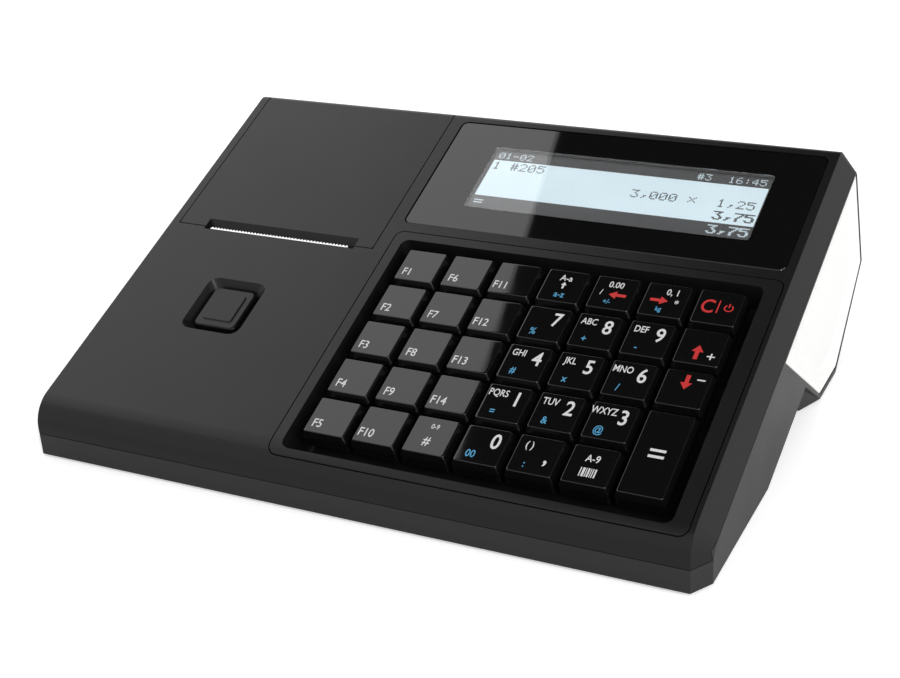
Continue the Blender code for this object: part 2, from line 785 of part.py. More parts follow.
def make_key_mat(deck, finishes):
    """The silicone sheet with an open collar round each key's stem."""
    left, right = WELL_LEFT + MAT_MARGIN, WELL_RIGHT - MAT_MARGIN
    front, back = WELL_FRONT + MAT_MARGIN, WELL_BACK - MAT_MARGIN
    sheet = box(left, right, front, back, -MAT_TOP - MAT_THICKNESS, -MAT_TOP)
    mat = make_object("key_mat", sheet, finishes["silicone"], deck)
    collars = key_holes(MAT_COLLAR, -MAT_TOP - MAT_THICKNESS / 2, -MAT_COLLAR_TOP)
    boolean(mat, make_cutter("mat_collars", collars, deck), "UNION")
    holes = key_holes(KEY_STEM + 2 * GAP, -BOARD_TOP, -WELL_DEPTH)
    boolean(mat, make_cutter("mat_holes", holes, deck))


def make_board(deck, finishes):
    solid = box(
        BEZEL_LEFT, WELL_RIGHT, WELL_FRONT + BOARD_MARGIN, WELL_BACK + BOARD_MARGIN / 2,
        -BOARD_TOP - BOARD_THICKNESS, -BOARD_TOP,
    )
    make_object("main_board", solid, finishes["board"], deck)


def make_display(deck, finishes):
    """The glossy window in its seat and the display module on the seat's underside."""
    low = -WINDOW_SINK - WINDOW_THICKNESS
    window = opening(
        WINDOW_LEFT, WINDOW_RIGHT, WINDOW_FRONT, WINDOW_BACK, WINDOW_CORNER, low, -WINDOW_SINK
    )
    make_object("display_window", window, finishes["gloss"], deck)
    top = low - GAP
    body = box(DISPLAY_LEFT, DISPLAY_RIGHT, DISPLAY_FRONT, DISPLAY_BACK, top - DISPLAY_THICKNESS, top)
    module = make_object("display_module", body, finishes["metal"], deck)
    pane = box(
        DISPLAY_LEFT + DISPLAY_LIP, DISPLAY_RIGHT - DISPLAY_LIP, DISPLAY_FRONT + DISPLAY_LIP,
        DISPLAY_BACK - DISPLAY_LIP, top - DISPLAY_LIP_DEPTH, top + OVERRUN,
    )
    boolean(module, make_cutter("display_pane", pane, deck))


def make_lid(deck, finishes):
    """The printer lid: plate, hinge knuckle with pivots, roller bearings and ribs.

    Its origin lies on the hinge's axis.
    """
    s, n = hinge_place()
    plate = upright(rectangle(LID_LEFT, LID_RIGHT, LID_FRONT, s + GAP, LID_CORNER), -LID_THICKNESS, 0)
    bmesh.ops.translate(plate, verts=plate.verts, vec=(0, -s, -n))
    lid = make_object("printer_lid", plate, finishes["shell"], deck, (0, s, n))
    knuckle = crosswise(circle((s, n), KNUCKLE_RADIUS), LID_LEFT + GAP, LID_RIGHT - GAP)
    boolean(lid, make_cutter("knuckle", knuckle, deck), "UNION")
    reach = SEAM + PIVOT_LENGTH - GAP
    pivots = crosswise(circle((s, n), PIVOT_RADIUS), LID_LEFT - reach, LID_RIGHT + reach)
    boolean(lid, make_cutter("pivots", pivots, deck), "UNION")
    extras = []
    half = ROLLER_LENGTH / 2 + 2 * GAP
    foot = -LID_THICKNESS / 2 - GAP
    for left in (PAPER_X - half - LID_BEARING, PAPER_X + half):
        extras.append(box(
            left, left + LID_BEARING, ROLLER_S - LID_BEARING_HALF, ROLLER_S + LID_BEARING_HALF,
            -LID_BEARING_DROP, foot,
        ))
    front, back = SLOT_BACK + LID_RIB_END, s - LID_RIB_END
    for x in (LID_LEFT + RIB_INSET, PAPER_X, LID_RIGHT - RIB_INSET - RIB_THICKNESS):
        extras.append(box(x, x + RIB_THICKNESS, front, back, -LID_THICKNESS - RIB_DEPTH, foot))
    boolean(lid, make_cutter("lid_ribs", merge(extras), deck), "UNION")
    bore = crosswise(circle((ROLLER_S, ROLLER_N), SHAFT_RADIUS + GAP), SHAFT_LEFT, SHAFT_RIGHT)
    boolean(lid, make_cutter("shaft_bores", bore, deck))
    slope = [
        (LID_FRONT - OVERRUN, -SLOT_DROP - OVERRUN), (SLOT_BACK, 0), (SLOT_BACK, OVERRUN),
        (LID_FRONT - OVERRUN, OVERRUN),
    ]
    boolean(lid, make_cutter("slot_slope", crosswise(slope, SLOT_LEFT, SLOT_RIGHT), deck))


def gear_outline(teeth, turn, play=GEAR_BACKLASH):
    """A trapezoid-toothed gear's outline round the origin, one tooth pointing at angle turn."""
    pitch = GEAR_MODULE * teeth / 2
    root, tip = pitch - GEAR_MODULE - GEAR_PLAY, pitch + GEAR_MODULE - GEAR_PLAY
    half = math.pi * GEAR_MODULE / 4 - play
    slope = math.tan(PRESSURE_ANGLE)
    points = []
    for i in range(teeth):
        middle = turn + 2 * math.pi * i / teeth
        for radius, side in ((root, -1), (tip, -1), (tip, 1), (root, 1)):
            width = half - (radius - pitch) * slope
            angle = middle + side * width / radius
            points.append((radius * math.cos(angle), radius * math.sin(angle)))
    return points


def gear_places():
    """Centre (s, n) and first tooth angle of the three meshed gears."""
    reach = GEAR_MODULE * (PLATEN_TEETH + IDLER_TEETH) / 2
    idler = (ROLLER_S, ROLLER_N - reach)
    reach = GEAR_MODULE * (IDLER_TEETH + PINION_TEETH) / 2
    pinion = (idler[0] + reach * math.cos(PINION_TURN), idler[1] + reach * math.sin(PINION_TURN))
    idler_turn = math.pi / 2 + math.pi / IDLER_TEETH
    phase = (PINION_TURN - idler_turn) * IDLER_TEETH / (2 * math.pi)
    share = phase - math.floor(phase)
    pinion_turn = PINION_TURN + math.pi + (share - 1 / 2) * 2 * math.pi / PINION_TEETH
    return {
        "platen_gear": ((ROLLER_S, ROLLER_N), PLATEN_TEETH, -math.pi / 2),
        "idler_gear": (idler, IDLER_TEETH, idler_turn),
        "motor_pinion": (pinion, PINION_TEETH, pinion_turn),
    }


def make_gears(deck, finishes):
    """The gear train; the pinion carries its own shaft into the motor."""
    bores = {"platen_gear": SHAFT_RADIUS + GAP, "idler_gear": STUD_RADIUS + GAP}
    for name, (centre, teeth, turn) in gear_places().items():
        solid = crosswise(gear_outline(teeth, turn), GEAR_LEFT, GEAR_LEFT + GEAR_FACE)
        gear = make_object(name, solid, finishes["gear"], deck, (0, *centre))
        ends = (GEAR_LEFT - OVERRUN, GEAR_LEFT + GEAR_FACE + OVERRUN)
        if name in bores:
            bore = crosswise(circle(centre, bores[name], ROUND_STEPS), *ends)
            boolean(gear, make_cutter(name + "_bore", bore, deck))
        else:
            end = motor_left() + MOTOR_BORE - GAP
            shaft = crosswise(circle(centre, MOTOR_SHAFT, POST_SIDES), GEAR_LEFT + GEAR_FACE / 2, end)
            boolean(gear, make_cutter("pinion_shaft", shaft, deck), "UNION")


def gear_wall_left():
    return GEAR_LEFT + GEAR_FACE + 2 * GAP


def motor_left():
    return gear_wall_left() + GEAR_WALL + GAP


def make_roller(deck, finishes):
    """The rubber platen roller on its steel shaft."""
    place = (0, ROLLER_S, ROLLER_N)
    shaft = crosswise(circle((0, 0), SHAFT_RADIUS), SHAFT_LEFT, SHAFT_RIGHT)
    make_object("platen_shaft", shaft, finishes["metal"], deck, place)
    left = PAPER_X - ROLLER_LENGTH / 2
    tube = crosswise(circle((0, 0), ROLLER_RADIUS, ROUND_STEPS + POST_SIDES), left, left + ROLLER_LENGTH)
    roller = make_object("platen_roller", tube, finishes["rubber"], deck, place)
    ends = (left - OVERRUN, left + ROLLER_LENGTH + OVERRUN)
    bore = crosswise(circle((ROLLER_S, ROLLER_N), SHAFT_RADIUS + GAP), *ends)
    boolean(roller, make_cutter("roller_bore", bore, deck))


def make_head_and_tear_bar(deck, finishes):
    """The thermal head's plate on the beam, and the tear bar with its toothed lip over it."""
    back = ROLLER_S - ROLLER_RADIUS - HEAD_CLEARANCE
    left = PAPER_X - ROLLER_LENGTH / 2
    head = box(left, left + ROLLER_LENGTH, back - HEAD_THICKNESS, back, -HEAD_BOTTOM, -HEAD_TOP)
    make_object("thermal_head", head, finishes["metal"], deck)
    left = PAPER_X - TEAR_LENGTH / 2
    pitch = TEAR_LENGTH / TEAR_TEETH
    front = SLOT_FRONT + GAP
    tips, roots = front + TEAR_REACH, front + TEAR_REACH - TEAR_TOOTH
    edge = [(left, front), (left + TEAR_LENGTH, front), (left + TEAR_LENGTH, roots)]
    for i in reversed(range(TEAR_TEETH)):
        edge.append((left + (i + 1 / 2) * pitch, tips))
        edge.append((left + i * pitch, roots))
    blade = upright(edge, -TEAR_TOP - TEAR_THICKNESS, -TEAR_TOP)
    bar = make_object("tear_bar", blade, finishes["steel"], deck)
    web = box(
        left, left + TEAR_LENGTH, front, front + TEAR_THICKNESS, -TEAR_BOTTOM, -TEAR_TOP - TEAR_THICKNESS / 2
    )
    boolean(bar, make_cutter("tear_web", web, deck), "UNION")


def bucket_outline(grow):
    """The paper bucket's section: a half round with straight sides, (s, n)."""
    radius = BUCKET_RADIUS + grow
    bottom = arc((BUCKET_S, BUCKET_N), radius, math.pi, 2 * math.pi, BUCKET_STEPS)
    top = -BUCKET_TOP + (OVERRUN if not grow else 0)
    return bottom + [(BUCKET_S + radius, top), (BUCKET_S - radius, top)]


def make_printer_frame(deck, finishes):
    """The printer's moulded frame: floor, cheeks, head beam, gear wall and paper bucket."""
    wall = FRAME_WALL
    back = BUCKET_S - BUCKET_RADIUS + wall
    floor = box(FRAME_LEFT, FRAME_RIGHT, FRAME_FRONT, back, -FRAME_FLOOR, -FRAME_FLOOR + wall)
    frame = make_object("printer_frame", floor, finishes["frame"], deck)
    parts = {
        "left_cheek": box(
            FRAME_LEFT, FRAME_LEFT + wall, FRAME_FRONT, back, -FRAME_FLOOR + GAP, -CHEEK_TOP
        ),
        "right_cheek": box(
            FRAME_RIGHT - wall, FRAME_RIGHT, FRAME_FRONT, back, -FRAME_FLOOR + GAP, -CHEEK_TOP
        ),
        "beam": box(
            FRAME_LEFT + GAP, FRAME_RIGHT - GAP, BEAM_FRONT, BEAM_FRONT + BEAM_THICKNESS,
            -BEAM_BOTTOM, -BEAM_TOP,
        ),
        "gear_wall": box(
            gear_wall_left(), gear_wall_left() + GEAR_WALL, GEAR_WALL_FRONT, GEAR_WALL_BACK,
            -FRAME_FLOOR + GAP, -GEAR_WALL_TOP,
        ),
        "bucket": crosswise(
            bucket_outline(wall), PAPER_X - BUCKET_LENGTH / 2 - wall, PAPER_X + BUCKET_LENGTH / 2 + wall
        ),
    }
    places = gear_places()
    parts["idler_stud"] = crosswise(
        circle(places["idler_gear"][0], STUD_RADIUS), FRAME_LEFT + wall / 2, GEAR_LEFT + GEAR_FACE
    )
    pivot = (LIFTER_PIVOT_S, -LIFTER_TOP - LIFTER_THICKNESS / 2)
    parts["lifter_stud"] = crosswise(circle(pivot, STUD_RADIUS), LIFTER_ARM_LEFT, FRAME_RIGHT - wall / 2)
    for name, solid in parts.items():
        boolean(frame, make_cutter(name, solid, deck), "UNION")
    inner = crosswise(bucket_outline(0), PAPER_X - BUCKET_LENGTH / 2, PAPER_X + BUCKET_LENGTH / 2)
    boolean(frame, make_cutter("bucket_inside", inner, deck))
    left = gear_wall_left()
    hole = crosswise(
        circle(places["motor_pinion"][0], MOTOR_SHAFT + GAP, POST_SIDES), left - GAP, left + GEAR_WALL + GAP
    )
    boolean(frame, make_cutter("motor_hole", hole, deck))


def make_motor(deck, finishes):
    centre = gear_places()["motor_pinion"][0]
    left = motor_left()
    motor = make_object(
        "feed_motor", crosswise(circle((0, 0), MOTOR_RADIUS), left, left + MOTOR_LENGTH), finishes["metal"],
        deck, (0, *centre),
    )
    bore = crosswise(circle(centre, MOTOR_SHAFT + GAP, POST_SIDES), left - OVERRUN, left + MOTOR_BORE)
    boolean(motor, make_cutter("motor_bore", bore, deck))


def make_release_button(deck, finishes):
    """The release button with its raised panel, retaining flange and stem."""
    outline = centred(0, 0, BUTTON_WIDTH, BUTTON_LENGTH, BUTTON_CORNER)
    edge = centred(0, 0, BUTTON_WIDTH - 2 * BUTTON_EDGE, BUTTON_LENGTH - 2 * BUTTON_EDGE, BUTTON_CORNER)
    flange_top = -SLEEVE_DEPTH - GAP
    rings = [
        [(x, y, flange_top - BUTTON_FLANGE / 2) for x, y in outline],
        [(x, y, -BUTTON_SINK - BUTTON_EDGE) for x, y in outline],
        [(x, y, -BUTTON_SINK) for x, y in edge],
    ]
    place = (BUTTON_X, BUTTON_S, 0)
    button = make_object("release_button", loft(rings), finishes["shell"], deck, place)
    x, s = BUTTON_X, BUTTON_S
    more = 2 * SLEEVE_WALL
    flange = upright(
        centred(x, s, BUTTON_WIDTH + more, BUTTON_LENGTH + more), flange_top - BUTTON_FLANGE, flange_top
    )
    stem = upright(
        centred(x, s, BUTTON_STEM, BUTTON_STEM), -LIFTER_TOP + GAP, flange_top - BUTTON_FLANGE / 2
    )
    panel = upright(
        centred(x, s, BUTTON_PANEL, BUTTON_PANEL_LENGTH, BUTTON_CORNER / 2), -BUTTON_SINK - BUTTON_EDGE,
        -BUTTON_SINK + BUTTON_PANEL_RISE,
    )
    for name, solid in (("button_flange", flange), ("button_stem", stem), ("button_panel", panel)):
        boolean(button, make_cutter(name, solid, deck), "UNION")


def make_lid_lifter(deck, finishes):
    """The rocker that the button pushes down and that lifts the lid; its origin is its pivot."""
    s, n = LIFTER_PIVOT_S, -LIFTER_TOP - LIFTER_THICKNESS / 2
    low, high = -LIFTER_TOP - LIFTER_THICKNESS, -LIFTER_TOP
    left = BUTTON_X - LIFTER_PAD / 2
    front = BUTTON_S - LIFTER_PAD / 2
    outline = [
        (left, front), (LIFTER_ARM_RIGHT, front), (LIFTER_ARM_RIGHT, LIFTER_END),
        (LIFTER_ARM_LEFT, LIFTER_END), (LIFTER_ARM_LEFT, front + LIFTER_PAD), (left, front + LIFTER_PAD),
    ]
    plate = upright(outline, low, high)
    bmesh.ops.translate(plate, verts=plate.verts, vec=(0, -s, -n))
    lifter = make_object("lid_lifter", plate, finishes["frame"], deck, (0, s, n))
    barrel = crosswise(circle((s, n), LIFTER_BARREL), LIFTER_ARM_LEFT + GAP, LIFTER_ARM_RIGHT - GAP)
    boolean(lifter, make_cutter("lifter_barrel", barrel, deck), "UNION")
    finger = box(
        LIFTER_ARM_RIGHT - LIFTER_FINGER, LIFTER_ARM_RIGHT - GAP,
        LIFTER_END - LIFTER_FINGER, LIFTER_END - GAP, -LIFTER_TOP - GAP, -LIFTER_FINGER_TOP,
    )
    boolean(lifter, make_cutter("lifter_finger", finger, deck), "UNION")
    ends = (LIFTER_ARM_LEFT - OVERRUN, LIFTER_ARM_RIGHT + OVERRUN)
    bore = crosswise(circle((s, n), STUD_RADIUS + GAP), *ends)
    boolean(lifter, make_cutter("lifter_bore", bore, deck))


def make_port_block(deck, finishes):
    """The block of two sockets in the rear wall, flanged behind the wall."""
    back = DECK_LENGTH - GAP
    body = box(
        PORT_LEFT, PORT_LEFT + PORT_WIDTH, back - PORT_DEPTH, back, -PORT_TOP - PORT_HEIGHT, -PORT_TOP
    )
    block = make_object("port_block", body, finishes["gear"], deck)
    inner = DECK_LENGTH - WALL - GAP
    flange = box(
        PORT_LEFT - SHELF_WALL, PORT_LEFT + PORT_WIDTH + SHELF_WALL, inner - SHELF_WALL, inner,
        -PORT_TOP - PORT_HEIGHT - SHELF_WALL, -PORT_TOP + SHELF_WALL,
    )
    boolean(block, make_cutter("port_flange", flange, deck), "UNION")
    middle = -PORT_TOP - PORT_HEIGHT / 2
    sockets = []
    for x in (PORT_LEFT + PORT_WIDTH / 4, PORT_LEFT + 3 * PORT_WIDTH / 4):
        sockets.append(box(
            x - SOCKET_WIDTH / 2, x + SOCKET_WIDTH / 2, back - SOCKET_DEPTH, back + OVERRUN,
            middle - SOCKET_HEIGHT / 2, middle + SOCKET_HEIGHT / 2,
        ))
    boolean(block, make_cutter("sockets", merge(sockets), deck))


def make_finishes():
    return {
        "shell": make_material("matte_black", (0.035, 0.035, 0.034), 0.5),
        "side": make_material("side_black", (0.05, 0.05, 0.048), 0.5),
        "cover": make_material("white_cover", (0.92, 0.92, 0.9), 0.3),
        "gloss": make_material("gloss_black", (0.01, 0.01, 0.01), 0.05),
        "key": make_material("key_black", (0.02, 0.02, 0.02), 0.1),
        "silicone": make_material("silicone", (0.3, 0.3, 0.3), 0.7),
        "board": make_material("board_green", (0.02, 0.15, 0.05), 0.5),
        "metal": make_material("plated_steel", (0.6, 0.6, 0.6), 0.3, 1.0),
        "steel": make_material("tear_steel", (0.75, 0.75, 0.75), 0.25, 1.0),
        "frame": make_material("frame_grey", (0.12, 0.12, 0.12), 0.6),
        "gear": make_material("gear_plastic", (0.8, 0.78, 0.72), 0.5),
        "rubber": make_material("rubber", (0.02, 0.02, 0.02), 0.8),
    }


def main():
    clear_scene()
    finishes = make_finishes()
    deck = make_empty("deck", (0, FRONT_Y, FOOT_PROUD + NOSE_HEIGHT), TILT)
    make_housings(deck, finishes)
    make_feet(finishes)
    make_side_cover(1, "side_cover_right", finishes)
    make_side_cover(-1, "side_cover_left", finishes)
    make_keys(deck, finishes)
    make_bezel(deck, make_cutter("casing_form", casing_solid()), finishes)
    make_key_mat(deck, finishes)
    make_board(deck, finishes)
    make_display(deck, finishes)
    make_lid(deck, finishes)
    make_gears(deck, finishes)
    make_roller(deck, finishes)
    make_head_and_tear_bar(deck, finishes)
    make_printer_frame(deck, finishes)
    make_motor(deck, finishes)
    make_release_button(deck, finishes)
    make_lid_lifter(deck, finishes)
    make_port_block(deck, finishes)


main()
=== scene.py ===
"""Looks of the ticket register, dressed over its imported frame, with the studio round it.

World frame: +X to the user's right, +Y to the back, +Z up, in metres. The deck frame shares X,
its Y runs up the sloping deck from the front corner and its Z stands square to the deck.
"""

import logging
import math
from dataclasses import dataclass, field
from enum import Enum

import bmesh
import bpy
from mathutils import Matrix, Vector


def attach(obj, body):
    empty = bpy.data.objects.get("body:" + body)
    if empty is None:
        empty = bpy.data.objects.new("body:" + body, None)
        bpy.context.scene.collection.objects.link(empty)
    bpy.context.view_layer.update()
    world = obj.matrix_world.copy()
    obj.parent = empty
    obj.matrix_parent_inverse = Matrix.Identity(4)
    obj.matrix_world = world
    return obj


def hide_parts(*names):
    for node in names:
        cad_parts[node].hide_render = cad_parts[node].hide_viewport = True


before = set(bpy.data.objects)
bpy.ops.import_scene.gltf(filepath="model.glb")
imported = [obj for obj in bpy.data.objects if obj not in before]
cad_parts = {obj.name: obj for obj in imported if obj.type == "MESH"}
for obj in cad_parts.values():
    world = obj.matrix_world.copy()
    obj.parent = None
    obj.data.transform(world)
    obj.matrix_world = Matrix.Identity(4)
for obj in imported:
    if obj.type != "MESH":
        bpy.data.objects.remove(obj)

MM = 0.001
CAPITAL_SHARE = 0.73
INK_THICKNESS = 0.03 * MM
LOG = logging.getLogger("ticket_register")
Point = tuple[float, float]
Ring = list[tuple[float, float, float]]
Colour = tuple[float, float, float]


@dataclass(frozen=True)
class DeckFrame:
    """The sloping deck's place in the world.

    Args:
        tilt: Slope of the deck, in radians.
        front_y: World Y of the deck's front corner.
        corner_z: World Z of the deck's front corner.
    """

    tilt: float = math.radians(20.6)
    front_y: float = -96.94 * MM
    corner_z: float = 20.1 * MM

    def matrix(self, x: float = 0.0, s: float = 0.0, n: float = 0.0) -> Matrix:
        """The matrix that takes a piece built round (x, s, n) of the deck to the world."""
        base = Matrix.Translation((0, self.front_y, self.corner_z))
        return base @ Matrix.Rotation(self.tilt, 4, "X") @ Matrix.Translation((x, s, n))


DECK = DeckFrame()


class Body(Enum):
    """The bodies of the frame that dressed pieces ride on."""

    CASING = "casing"
    LID = "lid"
    PLATEN = "platen"
    BUTTON = "button"


# Mesh tools


def rounded(width: float, length: float, corner: float, steps: int = 5) -> list[Point]:
    """Outline of a rectangle with rounded corners, centred on the origin.

    Args:
        width: Size along X.
        length: Size along Y.
        corner: Radius of the corners.
        steps: Segments in each corner.

    Returns:
        The outline's points, counterclockwise.
    """
    points = []
    signs = ((1, 1), (-1, 1), (-1, -1), (1, -1))
    for i, (sign_x, sign_y) in enumerate(signs):
        centre_x = sign_x * (width / 2 - corner)
        centre_y = sign_y * (length / 2 - corner)
        for k in range(steps + 1):
            angle = (i + k / steps) * math.pi / 2
            points.append((centre_x + corner * math.cos(angle), centre_y + corner * math.sin(angle)))
    return points


def at_height(outline: list[Point], height: float) -> Ring:
    """The outline lifted to one height."""
    return [(x, y, height) for x, y in outline]


def lofted(rings: list[Ring]) -> bmesh.types.BMesh:
    """A closed solid through rings of equal length.

    Args:
        rings: The sections, in order.

    Returns:
        The solid, with its two ends filled.
    """
    solid = bmesh.new()
    levels = [[solid.verts.new(point) for point in ring] for ring in rings]
    count = len(rings[0])
    for low, high in zip(levels, levels[1:]):
        for i in range(count):
            j = (i + 1) % count
            solid.faces.new((low[i], low[j], high[j], high[i]))
    solid.faces.new(levels[0])
    solid.faces.new(levels[-1])
    bmesh.ops.recalc_face_normals(solid, faces=solid.faces)
    return solid


def plate(outlines: list[list[Point]], low: float, high: float) -> bmesh.types.BMesh:
    """Several flat prisms in one mesh.

    Args:
        outlines: Closed outlines, one for each prism.
        low: Height of their undersides.
        high: Height of their tops.

    Returns:
        The prisms as one mesh.
    """
    whole = bmesh.new()
    for outline in outlines:
        bottom = [whole.verts.new((x, y, low)) for x, y in outline]
        top = [whole.verts.new((x, y, high)) for x, y in outline]
        whole.faces.new(bottom)
        whole.faces.new(top)
        for i in range(len(outline)):
            j = (i + 1) % len(outline)
            whole.faces.new((bottom[i], bottom[j], top[j], top[i]))
    bmesh.ops.recalc_face_normals(whole, faces=whole.faces)
    return whole


def band(outer: list[Point], inner: list[Point], low: float, high: float) -> bmesh.types.BMesh:
    """A flat ring between two outlines of equal length.

    Args:
        outer: The outer outline.
        inner: The inner outline, point for point inside the outer one.
        low: Height of the underside.
        high: Height of the top.

    Returns:
        The closed ring.
    """
    ring = bmesh.new()
    sides = []
    for outline in (outer, inner):
        for height in (low, high):
            sides.append([ring.verts.new((x, y, height)) for x, y in outline])
    outer_low, outer_high, inner_low, inner_high = sides
    loops = (outer_low, outer_high, inner_high, inner_low, outer_low)
    for start, end in zip(loops, loops[1:]):
        for i in range(len(outer)):
            j = (i + 1) % len(outer)
            ring.faces.new((start[i], start[j], end[j], end[i]))
    bmesh.ops.recalc_face_normals(ring, faces=ring.faces)
    return ring


def add_mesh(whole: bmesh.types.BMesh, part: bmesh.types.BMesh, slot: int = 0) -> None:
    """Adds a part to a mesh and frees it.

    Args:
        whole: The mesh that grows.
        part: The mesh to add.
        slot: Material index of the added faces.
    """
    for face in part.faces:
        face.material_index = slot
    mesh = bpy.data.meshes.new("part")
    part.to_mesh(mesh)
    part.free()
    whole.from_mesh(mesh)
    bpy.data.meshes.remove(mesh)


def make_piece(
    name: str,
    source: bmesh.types.BMesh,
    materials: list[bpy.types.Material],
    place: Matrix,
    body: str,
    smooth: bool = True,
) -> bpy.types.Object:
    """A dressed piece in its place, riding on its body.

    Args:
        name: The piece's name.
        source: Its mesh, which is freed.
        materials: Its materials, in the order of its material indices.
        place: Its world matrix.
        body: Name of the body it rides on.
        smooth: Whether its faces are shaded smooth below the sharp angle.

    Returns:
        The new object.
    """
    mesh = bpy.data.meshes.new(name)
    source.to_mesh(mesh)
    source.free()
    if smooth:
        mesh.shade_smooth()
        mesh.set_sharp_from_angle(angle=math.radians(40))
    for material in materials:
        mesh.materials.append(material)
    piece = bpy.data.objects.new(name, mesh)
    bpy.context.scene.collection.objects.link(piece)
    if smooth:
        normals = piece.modifiers.new("weighted_normals", "WEIGHTED_NORMAL")
        normals.keep_sharp = True
    piece.matrix_world = place
    bpy.context.view_layer.update()
    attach(piece, body)
    return piece


def lettering(
    text: str, height: float, centre: Point, width_share: float = 0.82, bold: float = 0.0
) -> bmesh.types.BMesh:
    """Flat printed characters.

    Args:
        text: What is printed.
        height: Height of a capital letter.
        centre: Middle of the print.
        width_share: How far the characters are condensed.
        bold: How far the strokes grow outwards.

    Returns:
        The characters as thin solids standing on height zero.
    """
    curve = bpy.data.curves.new("print", "FONT")
    curve.body = text
    curve.align_x = "CENTER"
    curve.size = height / CAPITAL_SHARE
    curve.offset = bold
    curve.extrude = INK_THICKNESS / 2
    curve.resolution_u = 3
    holder = bpy.data.objects.new("print", curve)
    bpy.context.scene.collection.objects.link(holder)
    bpy.context.view_layer.update()
    graph = bpy.context.evaluated_depsgraph_get()
    mesh = bpy.data.meshes.new_from_object(holder.evaluated_get(graph))
    printed = bmesh.new()
    printed.from_mesh(mesh)
    bpy.data.objects.remove(holder)
    bpy.data.curves.remove(curve)
    bpy.data.meshes.remove(mesh)
    shape = Matrix.Diagonal((width_share, 1, 1, 1))
    place = Matrix.Translation((centre[0], centre[1] - height / 2, INK_THICKNESS / 2))
    printed.transform(place @ shape)
    return printed


def symbol(outlines: list[list[Point]], scale: float, centre: Point) -> bmesh.types.BMesh:
    """Flat printed shapes.

    Args:
        outlines: Closed outlines in shares of the scale, round the origin.
        scale: Size that the shares are taken of.
        centre: Middle of the print.

    Returns:
        The shapes as thin solids standing on height zero.
    """
    scaled = [[(centre[0] + x * scale, centre[1] + y * scale) for x, y in line] for line in outlines]
    return plate(scaled, 0, INK_THICKNESS)


# Finishes


class Surface:
    """The node tree of one material, with short ways to grow it.

    Args:
        name: The material's name.
        colour: Base colour, linear.
        roughness: Roughness of the surface.
    """

    def __init__(self, name: str, colour: Colour, roughness: float) -> None:
        """Starts the material with one Principled shader."""
        self.material = bpy.data.materials.new(name)
        self.material.use_nodes = True
        self.tree = self.material.node_tree
        self.shader = self.tree.nodes["Principled BSDF"]
        self.shader.inputs["Base Color"].default_value = (*colour, 1)
        self.shader.inputs["Roughness"].default_value = roughness
        self.material.diffuse_color = (*colour, 1)
        self.place = self.tree.nodes.new("ShaderNodeTexCoord").outputs["Object"]

    def set(self, **values: float | Colour) -> None:
        """Sets shader sockets by name, underscores for spaces."""
        for name, value in values.items():
            socket = self.shader.inputs[name.replace("_", " ").title().replace("Ior", "IOR")]
            socket.default_value = (*value, 1) if isinstance(value, tuple) else value

    def noise(self, size: float, detail: float = 3.0, stretch: Colour = (1, 1, 1)) -> bpy.types.NodeSocket:
        """A noise pattern.

        Args:
            size: Size of its blots, in metres.
            detail: Octaves of finer noise.
            stretch: Scale of the place along each axis.

        Returns:
            The pattern's value, 0 to 1.
        """
        mapping = self.tree.nodes.new("ShaderNodeMapping")
        mapping.inputs["Scale"].default_value = stretch
        self.tree.links.new(self.place, mapping.inputs["Vector"])
        noise = self.tree.nodes.new("ShaderNodeTexNoise")
        noise.inputs["Scale"].default_value = 1 / size
        noise.inputs["Detail"].default_value = detail
        self.tree.links.new(mapping.outputs["Vector"], noise.inputs["Vector"])
        return noise.outputs["Fac"]

    def cells(self, size: float) -> bpy.types.NodeSocket:
        """A pattern of small round cells of one size, as on spark-eroded moulds."""
        cells = self.tree.nodes.new("ShaderNodeTexVoronoi")
        cells.inputs["Scale"].default_value = 1 / size
        self.tree.links.new(self.place, cells.inputs["Vector"])
        return cells.outputs["Distance"]

    def spread(self, pattern: bpy.types.NodeSocket, low: float, high: float) -> bpy.types.NodeSocket:
        """The pattern's middle half stretched between two values."""
        ramp = self.tree.nodes.new("ShaderNodeMapRange")
        ramp.inputs["From Min"].default_value = 0.3
        ramp.inputs["From Max"].default_value = 0.7
        ramp.inputs["To Min"].default_value = low
        ramp.inputs["To Max"].default_value = high
        self.tree.links.new(pattern, ramp.inputs["Value"])
        return ramp.outputs["Result"]

    def vary_roughness(self, pattern: bpy.types.NodeSocket, low: float, high: float) -> None:
        """Lets the roughness wander between two values."""
        self.tree.links.new(self.spread(pattern, low, high), self.shader.inputs["Roughness"])

    def vary_colour(self, pattern: bpy.types.NodeSocket, dark: Colour, light: Colour) -> None:
        """Lets the base colour wander between two colours."""
        mix = self.tree.nodes.new("ShaderNodeMix")
        mix.data_type = "RGBA"
        mix.inputs["A"].default_value = (*dark, 1)
        mix.inputs["B"].default_value = (*light, 1)
        self.tree.links.new(self.spread(pattern, 0, 1), mix.inputs["Factor"])
        self.tree.links.new(mix.outputs["Result"], self.shader.inputs["Base Color"])

    def roughen(self, pattern: bpy.types.NodeSocket, depth: float, strength: float) -> None:
        """Bumps the surface with a pattern of a given depth in metres."""
        bump = self.tree.nodes.new("ShaderNodeBump")
        bump.inputs["Distance"].default_value = depth
        bump.inputs["Strength"].default_value = strength
        self.tree.links.new(pattern, bump.inputs["Height"])
        self.tree.links.new(bump.outputs["Normal"], self.shader.inputs["Normal"])


